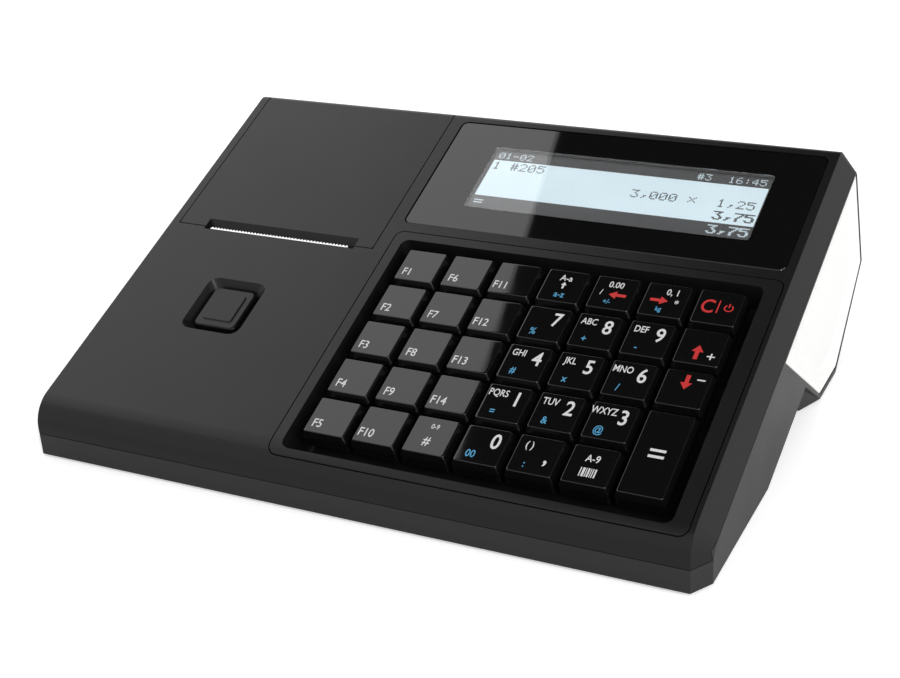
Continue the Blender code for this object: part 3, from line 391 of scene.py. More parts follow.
@dataclass(frozen=True)
class Finish:
    """A finish with a fine grain.

    Args:
        name: The material's name.
        colour: Base colour, linear.
        roughness: Mean roughness.
        wander: How far the roughness wanders either way.
        mottle: How far the colour wanders, as a share of it.
        grain: Size of the grain, in metres.
        relief: Depth of the grain, in metres.
    """

    name: str
    colour: Colour
    roughness: float
    wander: float = 0.015
    mottle: float = 0.04
    grain: float = 0.3 * MM
    relief: float = 0.004 * MM

    def material(self) -> bpy.types.Material:
        """The finish as a node material."""
        surface = Surface(self.name, self.colour, self.roughness)
        blots = surface.noise(18 * MM)
        surface.vary_roughness(blots, self.roughness - self.wander, self.roughness + self.wander)
        dark = tuple(value * (1 - self.mottle) for value in self.colour)
        light = tuple(value * (1 + self.mottle) for value in self.colour)
        surface.vary_colour(surface.noise(self.grain * 2), dark, light)
        surface.roughen(self.pattern(surface), self.relief, 1.0)
        self.tune(surface)
        return surface.material

    def pattern(self, surface: Surface) -> bpy.types.NodeSocket:
        """The grain's pattern."""
        return surface.noise(self.grain, 2)

    def tune(self, surface: Surface) -> None:
        """Sets what only this kind of finish has."""


@dataclass(frozen=True)
class Moulding(Finish):
    """Matte moulded plastic with a spark-eroded grain."""

    def pattern(self, surface: Surface) -> bpy.types.NodeSocket:
        """Small round pits."""
        return surface.cells(self.grain)

    def tune(self, surface: Surface) -> None:
        """Dulls the shine, as the pits do."""
        surface.set(specular_ior_level=0.26)


@dataclass(frozen=True)
class Gloss(Finish):
    """Polished moulded plastic under a faint haze."""

    def tune(self, surface: Surface) -> None:
        """Gives it a dense clear face."""
        surface.set(ior=1.5)


@dataclass(frozen=True)
class Metal(Finish):
    """Metal drawn or ground along X."""

    def pattern(self, surface: Surface) -> bpy.types.NodeSocket:
        """Long fine scratches."""
        return surface.noise(self.grain, 4, (0.04, 1, 1))

    def tune(self, surface: Surface) -> None:
        """Makes it metallic."""
        surface.set(metallic=1.0)


@dataclass(frozen=True)
class ClearPane(Finish):
    """Clear plastic over the screen."""

    def tune(self, surface: Surface) -> None:
        """Lets light through."""
        surface.set(ior=1.5, transmission_weight=1.0)


@dataclass(frozen=True)
class Lit(Finish):
    """A surface with light behind it.

    Args:
        glow: How brightly it shines.
        unlit_share: Base colour, as a share of the glow's colour.
        dim_share: Glow of the dimmest places, as a share of the brightest.
    """

    glow: float = 1.0
    unlit_share: float = 0.05
    dim_share: float = 0.94

    def tune(self, surface: Surface) -> None:
        """Adds the glow, a little uneven as a light guide leaves it, to a face that is dark unlit."""
        unlit = tuple(value * self.unlit_share for value in self.colour)
        surface.set(emission_strength=self.glow, base_color=unlit)
        for link in surface.shader.inputs["Base Color"].links:
            surface.tree.links.remove(link)
        mix = surface.tree.nodes.new("ShaderNodeMix")
        mix.data_type = "RGBA"
        mix.inputs["A"].default_value = (*(value * self.dim_share for value in self.colour), 1)
        mix.inputs["B"].default_value = (*self.colour, 1)
        surface.tree.links.new(surface.spread(surface.noise(25 * MM, 1), 0, 1), mix.inputs["Factor"])
        surface.tree.links.new(mix.outputs["Result"], surface.shader.inputs["Emission Color"])


FINISHES = {
    "shell": Moulding("matte_black_shell", (0.006, 0.006, 0.0058), 0.33),
    "side": Moulding("matte_black_side", (0.022, 0.022, 0.0215), 0.42),
    "cover": Finish("satin_white_cover", (0.88, 0.88, 0.865), 0.32, grain=0.6 * MM, relief=0.004 * MM),
    "window": Gloss("black_window", (0.004, 0.004, 0.004), 0.025, wander=0.005, relief=0.0),
    "key": Gloss("black_key", (0.004, 0.004, 0.004), 0.03, wander=0.01, relief=0.0),
    "pane": ClearPane("clear_pane", (0.97, 0.98, 1.0), 0.01, wander=0.005, relief=0.0),
    "white_ink": Finish("white_ink", (0.62, 0.62, 0.62), 0.45, relief=0.002 * MM),
    "blue_ink": Finish("blue_ink", (0.06, 0.3, 0.52), 0.45, relief=0.002 * MM),
    "red_ink": Finish("red_ink", (0.52, 0.012, 0.012), 0.45, relief=0.002 * MM),
    "backlight": Lit("screen_backlight", (0.68, 0.83, 0.89), 0.5, relief=0.0, glow=1.0),
    "pixel_light": Lit("lit_pixels", (0.72, 0.86, 0.92), 0.5, relief=0.0, glow=0.7),
    "pixel_dark": Finish("dark_pixels", (0.01, 0.012, 0.014), 0.4, relief=0.0),
    "screen_dark": Finish("dark_screen", (0.003, 0.0035, 0.004), 0.3, relief=0.0),
    "silicone": Finish("key_mat_silicone", (0.3, 0.3, 0.3), 0.7, grain=0.2 * MM),
    "board": Finish("board_lacquer", (0.015, 0.12, 0.04), 0.35, mottle=0.2, grain=1.2 * MM),
    "plated": Metal("plated_steel", (0.58, 0.58, 0.57), 0.3, grain=0.2 * MM),
    "tear": Metal("tear_bar_steel", (0.72, 0.72, 0.71), 0.26, grain=0.15 * MM),
    "frame": Moulding("dark_grey_frame", (0.07, 0.07, 0.07), 0.55),
    "gear": Finish("natural_acetal", (0.74, 0.72, 0.66), 0.42, grain=0.3 * MM),
    "rubber": Finish("black_rubber", (0.018, 0.018, 0.018), 0.78, grain=0.25 * MM, relief=0.02 * MM),
    "mask": Finish("black_mask", (0.003, 0.003, 0.003), 0.5, relief=0.0),
    "socket": Finish("socket_black", (0.02, 0.02, 0.02), 0.4),
}


class Palette:
    """Every finish made once, by name."""

    def __init__(self) -> None:
        """Starts with no material made."""
        self.made: dict[str, bpy.types.Material] = {}

    def get(self, name: str) -> bpy.types.Material:
        """The material of a finish, made when first asked for."""
        if name not in self.made:
            self.made[name] = FINISHES[name].material()
        return self.made[name]


def dress_node(name: str, material: bpy.types.Material, edge: float = 0.0, angle: float = 30.0) -> None:
    """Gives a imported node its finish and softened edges.

    Args:
        name: The node.
        material: Its finish.
        edge: Width of the softened edges, 0 for none.
        angle: Corners sharper than this many degrees are softened.
    """
    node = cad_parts[name]
    node.data.materials.clear()
    node.data.materials.append(material)
    normals = node.data.attributes.get("custom_normal")
    if normals:
        node.data.attributes.remove(normals)
    for polygon in node.data.polygons:
        polygon.use_smooth = True
        polygon.material_index = 0
    weld = node.modifiers.new("weld", "WELD")
    weld.merge_threshold = 0.002 * MM
    flatten = node.modifiers.new("flatten", "DECIMATE")
    flatten.decimate_type = "DISSOLVE"
    flatten.angle_limit = math.radians(0.5)
    if edge:
        bevel = node.modifiers.new("soft_edges", "BEVEL")
        bevel.width = edge
        bevel.segments = 2
        bevel.limit_method = "ANGLE"
        bevel.angle_limit = math.radians(angle)
        bevel.use_clamp_overlap = True
    smooth = node.modifiers.new("weighted_normals", "WEIGHTED_NORMAL")
    smooth.keep_sharp = True
    smooth.weight = 90
    LOG.info("dressed %s", name)


# Keys


class Ink(Enum):
    """The inks that keys are printed in, by material index on the key."""

    WHITE = 1
    BLUE = 2
    RED = 3


LEFT_ARROW = [
    [(-0.62, 0), (-0.08, 0.36), (-0.08, 0.13), (0.62, 0.13), (0.62, -0.13), (-0.08, -0.13), (-0.08, -0.36)]
]
RIGHT_ARROW = [[(-x, -y) for x, y in LEFT_ARROW[0]]]
UP_ARROW = [
    [(0, 0.62), (-0.4, 0.05), (-0.14, 0.05), (-0.14, -0.62), (0.14, -0.62), (0.14, 0.05), (0.4, 0.05)]
]
DOWN_ARROW = [[(-x, -y) for x, y in UP_ARROW[0]]]
BAR = [[(-0.04, -0.5), (0.04, -0.5), (0.04, 0.5), (-0.04, 0.5)]]
DASH = [[(-0.5, -0.1), (0.5, -0.1), (0.5, 0.1), (-0.5, 0.1)]]
PLUS = [[
    (-0.5, -0.09), (-0.09, -0.09), (-0.09, -0.5), (0.09, -0.5), (0.09, -0.09), (0.5, -0.09),
    (0.5, 0.09), (0.09, 0.09), (0.09, 0.5), (-0.09, 0.5), (-0.09, 0.09), (-0.5, 0.09),
]]
EQUALS = [[(x, y + lift) for x, y in DASH[0]] for lift in (-0.24, 0.24)]
STRIPE_SHARES = (
    (-0.75, 0.1), (-0.52, 0.22), (-0.2, 0.08), (-0.02, 0.16), (0.24, 0.08), (0.42, 0.1), (0.64, 0.14),
)
STRIPES = [[(x, -0.5), (x + w, -0.5), (x + w, 0.5), (x, 0.5)] for x, w in STRIPE_SHARES]


def power_mark() -> list[list[Point]]:
    """The standby symbol: an open ring with a bar in its gap."""
    steps = 20
    turns = [math.radians(125 + 290 * i / steps) for i in range(steps + 1)]
    outer = [(0.5 * math.cos(a), 0.5 * math.sin(a)) for a in turns]
    inner = [(0.36 * math.cos(a), 0.36 * math.sin(a)) for a in reversed(turns)]
    return [outer + inner, [(-0.07, 0.05), (0.07, 0.05), (0.07, 0.62), (-0.07, 0.62)]]


@dataclass(frozen=True)
class Mark:
    """One print on a key.

    Args:
        size: Height of its capitals, or the size of its symbol.
        x: Middle of the print, from the key's middle.
        s: Middle of the print up the deck.
        text: Its characters, if it has any.
        outlines: Its symbol, where it has no characters.
        ink: The ink it is printed in.
        condensed: How far the characters are condensed.
        bold: How far the strokes grow outwards.
    """

    size: float
    x: float
    s: float
    text: str = ""
    outlines: list[list[Point]] | None = None
    ink: Ink = Ink.WHITE
    condensed: float = 0.8
    bold: float = 0.04 * MM

    def mesh(self) -> bmesh.types.BMesh:
        """The print, standing on the key's top."""
        if self.outlines:
            return symbol(self.outlines, self.size, (self.x, self.s))
        return lettering(self.text, self.size, (self.x, self.s), self.condensed, self.bold)


def function_mark(number: int) -> tuple[Mark, ...]:
    """The print of a function key."""
    return (Mark(3.7 * MM, -4.0 * MM, -3.4 * MM, f"F{number}"),)


def digit_mark(digit: str, letters: str, blue: str) -> tuple[Mark, ...]:
    """The prints of a digit key: the digit, its letter group and a small blue mark."""
    marks = [Mark(6.5 * MM, 3.9 * MM, 2.7 * MM, digit, condensed=0.8, bold=0.12 * MM)]
    if letters:
        marks.append(Mark(3.1 * MM, -3.4 * MM, 4.3 * MM, letters, condensed=0.72))
    if blue:
        marks.append(Mark(3.2 * MM, -2.8 * MM, -3.9 * MM, blue, ink=Ink.BLUE))
    return tuple(marks)


def arrow_mark(outlines: list[list[Point]], x: float, s: float) -> Mark:
    """A broad red arrow."""
    return Mark(5.2 * MM, x, s, outlines=outlines, ink=Ink.RED)


LEGENDS: dict[tuple[int, int], tuple[Mark, ...]] = {
    (0, 3): (
        Mark(3.0 * MM, 0, 4.2 * MM, "A-a"), Mark(2.6 * MM, 0, 0.4 * MM, outlines=UP_ARROW),
        Mark(3.0 * MM, 0, -4.0 * MM, "a-z", ink=Ink.BLUE),
    ),
    (0, 4): (
        Mark(2.6 * MM, -4.4 * MM, 0, "/"), arrow_mark(LEFT_ARROW, 1.8 * MM, -0.8 * MM),
        Mark(3.0 * MM, 0, 4.2 * MM, "0.00"), Mark(2.2 * MM, -1 * MM, -4.3 * MM, "+/-", ink=Ink.BLUE),
    ),
    (0, 5): (
        Mark(3.2 * MM, 4.4 * MM, -0.8 * MM, "*"), arrow_mark(RIGHT_ARROW, -2.0 * MM, -0.3 * MM),
        Mark(3.0 * MM, 2 * MM, 4.2 * MM, "0, 1"), Mark(2.2 * MM, -1 * MM, -4.3 * MM, "kg", ink=Ink.BLUE),
    ),
    (0, 6): (
        Mark(6.5 * MM, -3.6 * MM, 0.5 * MM, "C", ink=Ink.RED, bold=0.1 * MM),
        Mark(6.0 * MM, 0.1 * MM, 0.5 * MM, outlines=BAR, ink=Ink.RED),
        Mark(3.4 * MM, 3.8 * MM, 0.4 * MM, outlines=power_mark(), ink=Ink.RED),
    ),
    (1, 3): digit_mark("7", "", "%"),
    (1, 4): digit_mark("8", "ABC", "+"),
    (1, 5): digit_mark("9", "DEF", "-"),
    (1, 6): (arrow_mark(UP_ARROW, -0.6 * MM, -2.4 * MM), Mark(2.8 * MM, 4.5 * MM, -3.6 * MM, outlines=PLUS)),
    (2, 3): digit_mark("4", "GHI", "#"),
    (2, 4): digit_mark("5", "JKL", "x"),
    (2, 5): digit_mark("6", "MNO", "/"),
    (2, 6): (arrow_mark(DOWN_ARROW, 0, 2.9 * MM), Mark(2.8 * MM, 4.6 * MM, 4.6 * MM, outlines=DASH)),
    (3, 3): digit_mark("1", "PQRS", "="),
    (3, 4): digit_mark("2", "TUV", "&"),
    (3, 5): digit_mark("3", "WXYZ", "@"),
    (3, 6): (Mark(5.4 * MM, 0.2 * MM, 0, outlines=EQUALS),),
    (4, 2): (Mark(4.0 * MM, -0.6 * MM, -2.2 * MM, "#"), Mark(2.1 * MM, 0, 4.1 * MM, "0-9")),
    (4, 3): digit_mark("0", "", "00"),
    (4, 4): (
        Mark(6.4 * MM, 4.0 * MM, 0.6 * MM, ",", bold=0.15 * MM), Mark(3.0 * MM, -3.4 * MM, 4.0 * MM, "( )"),
        Mark(3.0 * MM, -2.6 * MM, -3.9 * MM, ":", ink=Ink.BLUE),
    ),
    (4, 5): (Mark(3.6 * MM, 0, -2.9 * MM, outlines=STRIPES), Mark(3.0 * MM, 0, 3.0 * MM, "A-9")),
}


@dataclass(frozen=True)
class KeyCap:
    """One glossy cap: flat top, flared sides down to a ledge, then a skirt and a guide stem.

    Args:
        top: Width of the flat top.
        flare: Width at the ledge, where the flared sides end.
        skirt: Width of the skirt under the ledge.
        stem: Width of the stem.
        ledge_n: Height of the ledge.
        skirt_n: Height of the skirt's lower edge.
        stem_n: Height of the stem's lower end.
        corner: Radius of the cap's corners.
        edge: Radius of its softened edges.
    """

    top: float = 15.3 * MM
    flare: float = 17.4 * MM
    skirt: float = 17.0 * MM
    stem: float = 6.4 * MM
    ledge_n: float = -2.7 * MM
    skirt_n: float = -7.0 * MM
    stem_n: float = -13.4 * MM
    corner: float = 0.6 * MM
    edge: float = 0.28 * MM

    def levels(self) -> list[Point]:
        """Width and height of each section, from the stem to the middle of the top."""
        edge, ledge = self.edge, self.ledge_n
        return [
            (self.stem, self.stem_n), (self.stem, self.skirt_n + edge), (self.stem + edge, self.skirt_n),
            (self.skirt - edge, self.skirt_n), (self.skirt, self.skirt_n + edge / 2),
            (self.skirt, ledge - 1.6 * edge), (self.flare - edge / 2, ledge - 1.2 * edge),
            (self.flare, ledge - edge * 0.7), (self.flare, ledge - edge * 0.3),
            (self.flare - edge * 0.6, ledge + edge * 0.2), (self.top + edge * 0.7, -edge),
            (self.top + edge * 0.35, -edge * 0.55), (self.top - edge * 0.2, -edge * 0.22),
            (self.top - edge * 0.9, -edge * 0.04), (self.top - edge * 1.6, 0), (self.top - edge * 4, 0),
        ]

    def mesh(self, extra: float) -> bmesh.types.BMesh:
        """The cap's solid.

        Args:
            extra: What a tall key is longer than a square one.

        Returns:
            The closed solid, its top at height zero.
        """
        rings = []
        for width, height in self.levels():
            more = extra if width > self.stem + self.edge else 0
            corner = min(self.corner, width / 6) + (width - self.top) / 6
            rings.append(at_height(rounded(width, width + more, max(corner, self.edge)), height))
        return lofted(rings)


@dataclass
class KeyField:
    """The keyboard: bezel, key mat and the printed caps.

    Args:
        pitch: Distance between key middles.
        columns: Keys in a row.
        rows: Rows of keys, the first at the back.
        first_x: Middle of the first column.
        back_s: Middle of the back row, up the deck.
        cap: The form of a cap.
    """

    pitch: float = 19.05 * MM
    columns: int = 7
    rows: int = 5
    first_x: float = -10.05 * MM
    back_s: float = 97.35 * MM
    cap: KeyCap = field(default_factory=KeyCap)

    def build(self, palette: Palette) -> None:
        """Dresses the bezel and the mat and builds every cap."""
        dress_node("keyboard_bezel", palette.get("shell"), 0.4 * MM)
        dress_node("key_mat", palette.get("silicone"))
        for row in range(self.rows):
            for column in range(self.columns):
                if (row, column) != (self.rows - 1, self.columns - 1):
                    self.build_key(row, column, palette)

    def marks(self, row: int, column: int) -> tuple[Mark, ...]:
        """The prints of one key."""
        if (row, column) in LEGENDS:
            return LEGENDS[row, column]
        return function_mark(column * self.rows + row + 1)

    def build_key(self, row: int, column: int, palette: Palette) -> None:
        """Builds one cap with its prints.

        Args:
            row: Row, 0 at the back.
            column: Column, 0 at the left.
            palette: The finishes.
        """
        tall = (row, column) == (self.rows - 2, self.columns - 1)
        node = f"key_r{row + 1}_c{column + 1}" + ("_tall" if tall else "")
        extra = self.pitch if tall else 0.0
        key = bmesh.new()
        add_mesh(key, self.cap.mesh(extra))
        for mark in self.marks(row, column):
            add_mesh(key, mark.mesh(), mark.ink.value)
        x = self.first_x + column * self.pitch
        s = self.back_s - row * self.pitch - extra / 2
        inks = [palette.get(name) for name in ("key", "white_ink", "blue_ink", "red_ink")]
        piece = make_piece(f"cap_{node[4:]}", key, inks, DECK.matrix(x, s), f"{node}_body")
        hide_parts(node)
        LOG.info("built %s", piece.name)


# Display

DOT_ROWS = {
    "0": "01110 10001 10011 10101 11001 10001 01110",
    "1": "00100 01100 00100 00100 00100 00100 01110",
    "2": "01110 10001 00001 00010 00100 01000 11111",
    "3": "11111 00010 00100 00010 00001 10001 01110",
    "4": "00010 00110 01010 10010 11111 00010 00010",
    "5": "11111 10000 11110 00001 00001 10001 01110",
    "6": "00110 01000 10000 11110 10001 10001 01110",
    "7": "11111 00001 00010 00100 01000 01000 01000",
    "8": "01110 10001 10001 01110 10001 10001 01110",
    "9": "01110 10001 10001 01111 00001 00010 01100",
    ",": "00000 00000 00000 00000 00110 00100 01000",
    ":": "00000 00100 00100 00000 00100 00100 00000",
    "-": "00000 00000 00000 11111 00000 00000 00000",
    "x": "00000 10001 01010 00100 01010 10001 00000",
    "#": "01010 01010 11111 01010 11111 01010 01010",
    "=": "00000 00000 11111 00000 11111 00000 00000",
    " ": "00000 00000 00000 00000 00000 00000 00000",
}


@dataclass(frozen=True)
class DotText:
    """A line of dot-matrix characters.

    Args:
        text: Its characters.
        left: Left end of the line.
        base: Foot of the line, up the deck.
        dot: Distance between dots.
        bold: Whether every dot has a neighbour at its right.
        tall: Height of a dot as a share of its width.
    """

    text: str
    left: float
    base: float
    dot: float
    bold: bool = False
    tall: float = 1.0

    def mesh(self, low: float) -> bmesh.types.BMesh:
        """The line's dots as thin plates that stand on a height."""
        dots = []
        size = self.dot * 0.9
        for place, character in enumerate(self.text):
            for row, bits in enumerate(DOT_ROWS[character].split()):
                for column, bit in enumerate(bits):
                    if bit == "1":
                        x = self.left + (place * 6 + column) * self.dot
                        s = self.base + (6 - row) * self.dot * self.tall
                        width = size + (self.dot * 0.8 if self.bold else 0)
                        length = size * self.tall
                        dots.append([(x, s), (x + width, s), (x + width, s + length), (x, s + length)])
        return plate(dots, low, low + INK_THICKNESS)


@dataclass
class Display:
    """The glossy window, its clear pane, and the lit screen behind it.

    Args:
        window_x: Middle of the window.
        window_s: Middle of the window, up the deck.
        window_width: Width of the window.
        window_length: Length of the window.
        corner: Radius of its corners.
        top: Height of its face.
        thickness: Its thickness.
        pane_width: Width of the clear part.
        pane_length: Length of the clear part.
        screen_x: Middle of the screen.
        screen_s: Middle of the screen, up the deck.
        screen_width: Width of the dark screen.
        screen_length: Length of the dark screen.
        screen_top: Height of the screen's face.
        lit_width: Width of the lit part.
        lit_length: Length of the lit part.
        lit_thickness: Thickness of the lit part.
        mask: How far the black mask under the window reaches past the screen, both ends
            together.
    """

    window_x: float = 47.2 * MM
    window_s: float = 149.55 * MM
    window_width: float = 148.8 * MM
    window_length: float = 60.9 * MM
    corner: float = 2.5 * MM
    top: float = -0.15 * MM
    thickness: float = 1.6 * MM
    pane_width: float = 112.4 * MM
    pane_length: float = 35.4 * MM
    screen_x: float = 48.9 * MM
    screen_s: float = 149.5 * MM
    screen_width: float = 113.6 * MM
    screen_length: float = 36.6 * MM
    screen_top: float = -2.4 * MM
    lit_width: float = 110.5 * MM
    lit_length: float = 20.8 * MM
    lit_thickness: float = 0.02 * MM
    mask: float = 9.0 * MM

    def build(self, palette: Palette) -> None:
        """Builds the window and the screen and dresses the module."""
        dress_node("display_module", palette.get("plated"), 0.3 * MM)
        self.build_window(palette)
        self.build_screen(palette)

    def build_window(self, palette: Palette) -> None:
        """The black printed surround with the clear pane let into it."""
        low = self.top - self.thickness
        edge = 0.25 * MM
        outer = rounded(self.window_width, self.window_length, self.corner)
        shift = self.screen_x - self.window_x
        inner = rounded(self.pane_width, self.pane_length, self.corner / 2)
        hole = [(x + shift, s) for x, s in inner]
        inset = rounded(self.window_width - 2 * edge, self.window_length - 2 * edge, self.corner - edge)
        rings = [
            at_height(hole, low), at_height(outer, low), at_height(outer, self.top - edge),
            at_height(inset, self.top), at_height(hole, self.top),
        ]
        window = bmesh.new()
        levels = [[window.verts.new(point) for point in ring] for ring in rings]
        for start, end in zip(levels, levels[1:] + levels[:1]):
            for i in range(len(start)):
                j = (i + 1) % len(start)
                window.faces.new((start[i], start[j], end[j], end[i]))
        bmesh.ops.recalc_face_normals(window, faces=window.faces)
        gap = 0.03 * MM
        clear = rounded(self.pane_width - gap, self.pane_length - gap, self.corner / 2)
        add_mesh(window, plate([[(x + shift, s) for x, s in clear]], low, self.top), 1)
        faces = [palette.get("window"), palette.get("pane")]
        place = DECK.matrix(self.window_x, self.window_s)
        piece = make_piece("window_face", window, faces, place, Body.CASING.value)
        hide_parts("display_window")
        LOG.info("built %s", piece.name)

    def build_screen(self, palette: Palette) -> None:
        """The dark screen with its lit part and lines of figures."""
        screen = bmesh.new()
        glass = rounded(self.screen_width, self.screen_length, 0.4 * MM, 2)
        add_mesh(screen, plate([glass], self.screen_top - 0.6 * MM, self.screen_top))
        hole = rounded(self.pane_width, self.pane_length, 0.4 * MM, 2)
        border = rounded(self.screen_width + self.mask, self.screen_length + self.mask, 0.4 * MM, 2)
        under = self.top - self.thickness
        add_mesh(screen, band(border, hole, under - 0.25 * MM, under - 0.05 * MM), 4)
        lit = rounded(self.lit_width, self.lit_length, 0.2 * MM, 1)
        lit_s = self.lit_centre()
        lit_top = self.screen_top + self.lit_thickness
        add_mesh(screen, plate([[(x, s + lit_s) for x, s in lit]], self.screen_top, lit_top), 1)
        for line, dark in self.lines():
            add_mesh(screen, line.mesh(lit_top), 2 if dark else 3)
        names = ("screen_dark", "backlight", "pixel_dark", "pixel_light", "mask")
        faces = [palette.get(name) for name in names]
        place = DECK.matrix(self.screen_x, self.screen_s)
        piece = make_piece("screen_face", screen, faces, place, Body.CASING.value, False)
        LOG.info("built %s", piece.name)

    def lit_centre(self) -> float:
        """Middle of the lit part, up from the screen's middle."""
        return 1.35 * MM

    def lines(self) -> list[tuple[DotText, bool]]:
        """Each line of figures and whether it is dark on the lit part."""
        left = -self.lit_width / 2
        right = self.lit_width / 2
        top = self.lit_centre() + self.lit_length / 2
        foot = self.lit_centre() - self.lit_length / 2
        return [
            (DotText("01-02", left + 1 * MM, top + 1.1 * MM, 0.5 * MM), False),
            (DotText("#3  16:45", right - 28 * MM, top + 1.1 * MM, 0.5 * MM), False),
            (DotText("1 #205", left + 0.8 * MM, top - 5.2 * MM, 0.62 * MM), True),
            (DotText("3,000 x  1,25", right - 50 * MM, top - 12.4 * MM, 0.62 * MM), True),
            (DotText("3,75", right - 16.4 * MM, top - 19.2 * MM, 0.66 * MM, True), True),
            (DotText("=", left + 1 * MM, foot - 5.6 * MM, 0.66 * MM, True), False),
            (DotText("3,75", right - 16.4 * MM, foot - 5.8 * MM, 0.66 * MM, True), False),
        ]


# Casing and printer


@dataclass
class Casing:
    """The housings, covers, feet and sockets.

    Args:
        shell_edge: Softened width of the shell's edges.
        cover_edge: Softened width of the covers' edges.
    """

    shell_edge: float = 0.6 * MM
    cover_edge: float = 0.4 * MM

    def build(self, palette: Palette) -> None:
        """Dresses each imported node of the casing."""
        dress_node("upper_housing", palette.get("shell"), self.shell_edge, 25)
        dress_node("lower_housing", palette.get("side"), self.shell_edge, 25)
        for side in ("left", "right"):
            dress_node(f"side_cover_{side}", palette.get("cover"), self.cover_edge, 8)
            for end in ("front", "rear"):
                dress_node(f"foot_{end}_{side}", palette.get("rubber"), 0.2 * MM)
        dress_node("port_block", palette.get("socket"), 0.2 * MM)
        dress_node("main_board", palette.get("board"), 0.1 * MM)


@dataclass
class Printer:
    """The printer under its lid, with the release button and the lid's lever.

    Args:
        edges: Softened width of each node's edges, with its finish.
    """

    edges: dict[str, tuple[str, float]] = field(
        default_factory=lambda: {
            "printer_lid": ("shell", 0.35 * MM),
            "tear_bar": ("tear", 0.0),
            "thermal_head": ("plated", 0.15 * MM),
            "printer_frame": ("frame", 0.3 * MM),
            "feed_motor": ("plated", 0.4 * MM),
            "platen_shaft": ("plated", 0.2 * MM),
            "platen_roller": ("rubber", 0.2 * MM),
            "platen_gear": ("gear", 0.0),
            "idler_gear": ("gear", 0.0),
            "motor_pinion": ("gear", 0.0),
            "release_button": ("shell", 0.3 * MM),
            "lid_lifter": ("frame", 0.3 * MM),
        }
    )

    def build(self, palette: Palette) -> None:
        """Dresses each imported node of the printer."""
        for node, (finish, edge) in self.edges.items():
            dress_node(node, palette.get(finish), edge)


# Studio


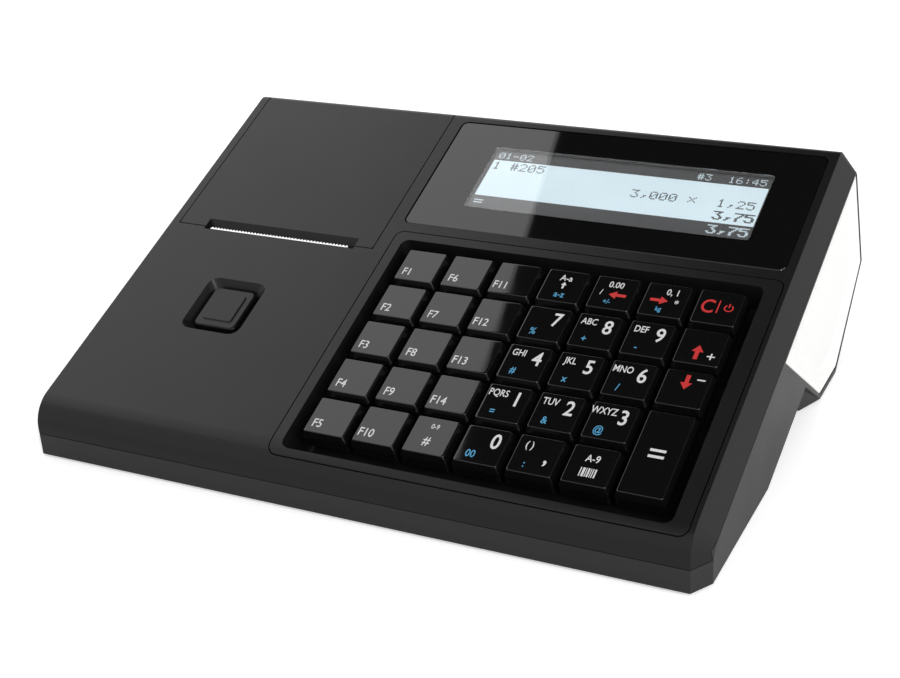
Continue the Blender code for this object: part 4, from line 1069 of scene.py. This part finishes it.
@dataclass
class Studio:
    """Floor, lights, world and camera.

    Args:
        camera_place: Where the camera stands.
        camera_right: Direction of the picture's right side.
        camera_up: Direction of the picture's top.
        lens: Focal length in millimetres on a 36 mm wide sensor.
        floor_size: Side of the square floor.
        fill: Strength of the world's diffuse light.
        floor_lift: Glow that the camera alone sees on the floor.
        flag_low: Front left corner of the black card.
        flag_high: Rear right corner of the black card.
        flag_z: Height of the black card.
    """

    camera_place: Vector = field(default_factory=lambda: Vector((0.25881, -0.49666, 0.29657)))
    camera_right: Vector = field(default_factory=lambda: Vector((0.89660, 0.43852, -0.06163)))
    camera_up: Vector = field(default_factory=lambda: Vector((-0.14333, 0.41907, 0.89657)))
    lens: float = 65.617
    floor_size: float = 12.0
    fill: float = 0.55
    floor_lift: float = 0.42
    flag_low: Point = (-0.5, -0.9)
    flag_high: Point = (2.4, 2.6)
    flag_z: float = 1.21

    def build(self) -> None:
        """Sets the studio up."""
        self.build_camera()
        self.build_world()
        self.build_floor()
        self.build_lights()
        bpy.context.scene.view_settings.view_transform = "Standard"

    def build_camera(self) -> None:
        """The camera, as the photograph was taken."""
        data = bpy.data.cameras.new("camera")
        data.lens = self.lens
        data.sensor_width = 36
        data.sensor_fit = "HORIZONTAL"
        data.clip_start = 0.01
        camera = bpy.data.objects.new("camera", data)
        bpy.context.scene.collection.objects.link(camera)
        back = self.camera_right.cross(self.camera_up)
        turn = Matrix((self.camera_right, self.camera_up, back)).transposed()
        camera.matrix_world = Matrix.Translation(self.camera_place) @ turn.to_4x4()
        bpy.context.scene.camera = camera

    def build_world(self) -> None:
        """A white background over a weaker fill light."""
        world = bpy.data.worlds.new("studio")
        world.use_nodes = True
        tree = world.node_tree
        background = tree.nodes["Background"]
        background.inputs["Color"].default_value = (1, 1, 1, 1)
        path = tree.nodes.new("ShaderNodeLightPath")
        seen = path.outputs["Is Camera Ray"]
        for name in ("Is Glossy Ray", "Is Transmission Ray"):
            either = tree.nodes.new("ShaderNodeMath")
            either.operation = "MAXIMUM"
            tree.links.new(seen, either.inputs[0])
            tree.links.new(path.outputs[name], either.inputs[1])
            seen = either.outputs["Value"]
        level = tree.nodes.new("ShaderNodeMapRange")
        level.inputs["To Min"].default_value = self.fill
        level.inputs["To Max"].default_value = 1.0
        tree.links.new(seen, level.inputs["Value"])
        tree.links.new(level.outputs["Result"], background.inputs["Strength"])
        bpy.context.scene.world = world

    def build_floor(self) -> None:
        """A white floor that keeps the till's shadow."""
        half = self.floor_size / 2
        sheet = bmesh.new()
        corners = ((-half, -half), (half, -half), (half, half), (-half, half))
        sheet.faces.new([sheet.verts.new((x, y, 0)) for x, y in corners])
        mesh = bpy.data.meshes.new("floor")
        sheet.to_mesh(mesh)
        sheet.free()
        surface = Surface("floor_white", (0.86, 0.86, 0.86), 0.9)
        surface.set(specular_ior_level=0.0, emission_color=(1.0, 1.0, 1.0))
        path = surface.tree.nodes.new("ShaderNodeLightPath")
        lift = surface.tree.nodes.new("ShaderNodeMath")
        lift.operation = "MULTIPLY"
        lift.inputs[1].default_value = self.floor_lift
        surface.tree.links.new(path.outputs["Is Camera Ray"], lift.inputs[0])
        surface.tree.links.new(lift.outputs["Value"], surface.shader.inputs["Emission Strength"])
        mesh.materials.append(surface.material)
        floor = bpy.data.objects.new("floor", mesh)
        bpy.context.scene.collection.objects.link(floor)

    def build_lights(self) -> None:
        """A softbox up on the left with a black flag, a strip at the front and a box on the right."""
        self.softbox("softbox", Vector((-1.2, 0.45, 1.2)), Vector((-1.2, 0.45, 0)), (1.4, 2.4), 0.8)
        self.softbox("front_strip", Vector((0.75, -0.9, 0.75)), Vector((0, 0, 0.03)), (0.08, 0.7), 34.0)
        self.softbox("side_box", Vector((1.5, -0.2, 0.5)), Vector((0.1, 0, 0.05)), (1.2, 0.9), 2.9)
        self.flag()

    def softbox(self, name: str, place: Vector, aim: Vector, size: Point, radiance: float) -> None:
        """A rectangular area light.

        Args:
            name: Its name.
            place: Its middle.
            aim: What it faces.
            size: Its sides along its own X and Y.
            radiance: How bright its face is.
        """
        data = bpy.data.lights.new(name, "AREA")
        data.shape = "RECTANGLE"
        data.size, data.size_y = size
        data.energy = radiance * math.pi * size[0] * size[1]
        light = bpy.data.objects.new(name, data)
        light.location = place
        light.rotation_euler = (aim - place).to_track_quat("-Z", "Y").to_euler()
        bpy.context.scene.collection.objects.link(light)

    def flag(self) -> None:
        """A black card that only glossy surfaces see, beside the softbox."""
        card = bmesh.new()
        (left, front), (right, back) = self.flag_low, self.flag_high
        corners = ((left, front), (right, front), (right, back), (left, back))
        card.faces.new([card.verts.new((x, y, self.flag_z)) for x, y in corners])
        mesh = bpy.data.meshes.new("flag")
        card.to_mesh(mesh)
        card.free()
        mesh.materials.append(Surface("flag_black", (0.0, 0.0, 0.0), 1.0).material)
        flag = bpy.data.objects.new("flag", mesh)
        bpy.context.scene.collection.objects.link(flag)
        flag.visible_camera = False
        flag.visible_diffuse = False
        flag.visible_shadow = False
        flag.visible_transmission = False


def clear_startup() -> None:
    """Removes what Blender starts with."""
    for name in ("Cube", "Camera", "Light"):
        if name in bpy.data.objects:
            bpy.data.objects.remove(bpy.data.objects[name], do_unlink=True)


def main() -> None:
    """Builds the till and its studio."""
    logging.basicConfig(level=logging.INFO, format="%(message)s")
    clear_startup()
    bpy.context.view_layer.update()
    palette = Palette()
    Studio().build()
    Casing().build(palette)
    KeyField().build(palette)
    Display().build(palette)
    Printer().build(palette)


if __name__ == "__main__":
    main()
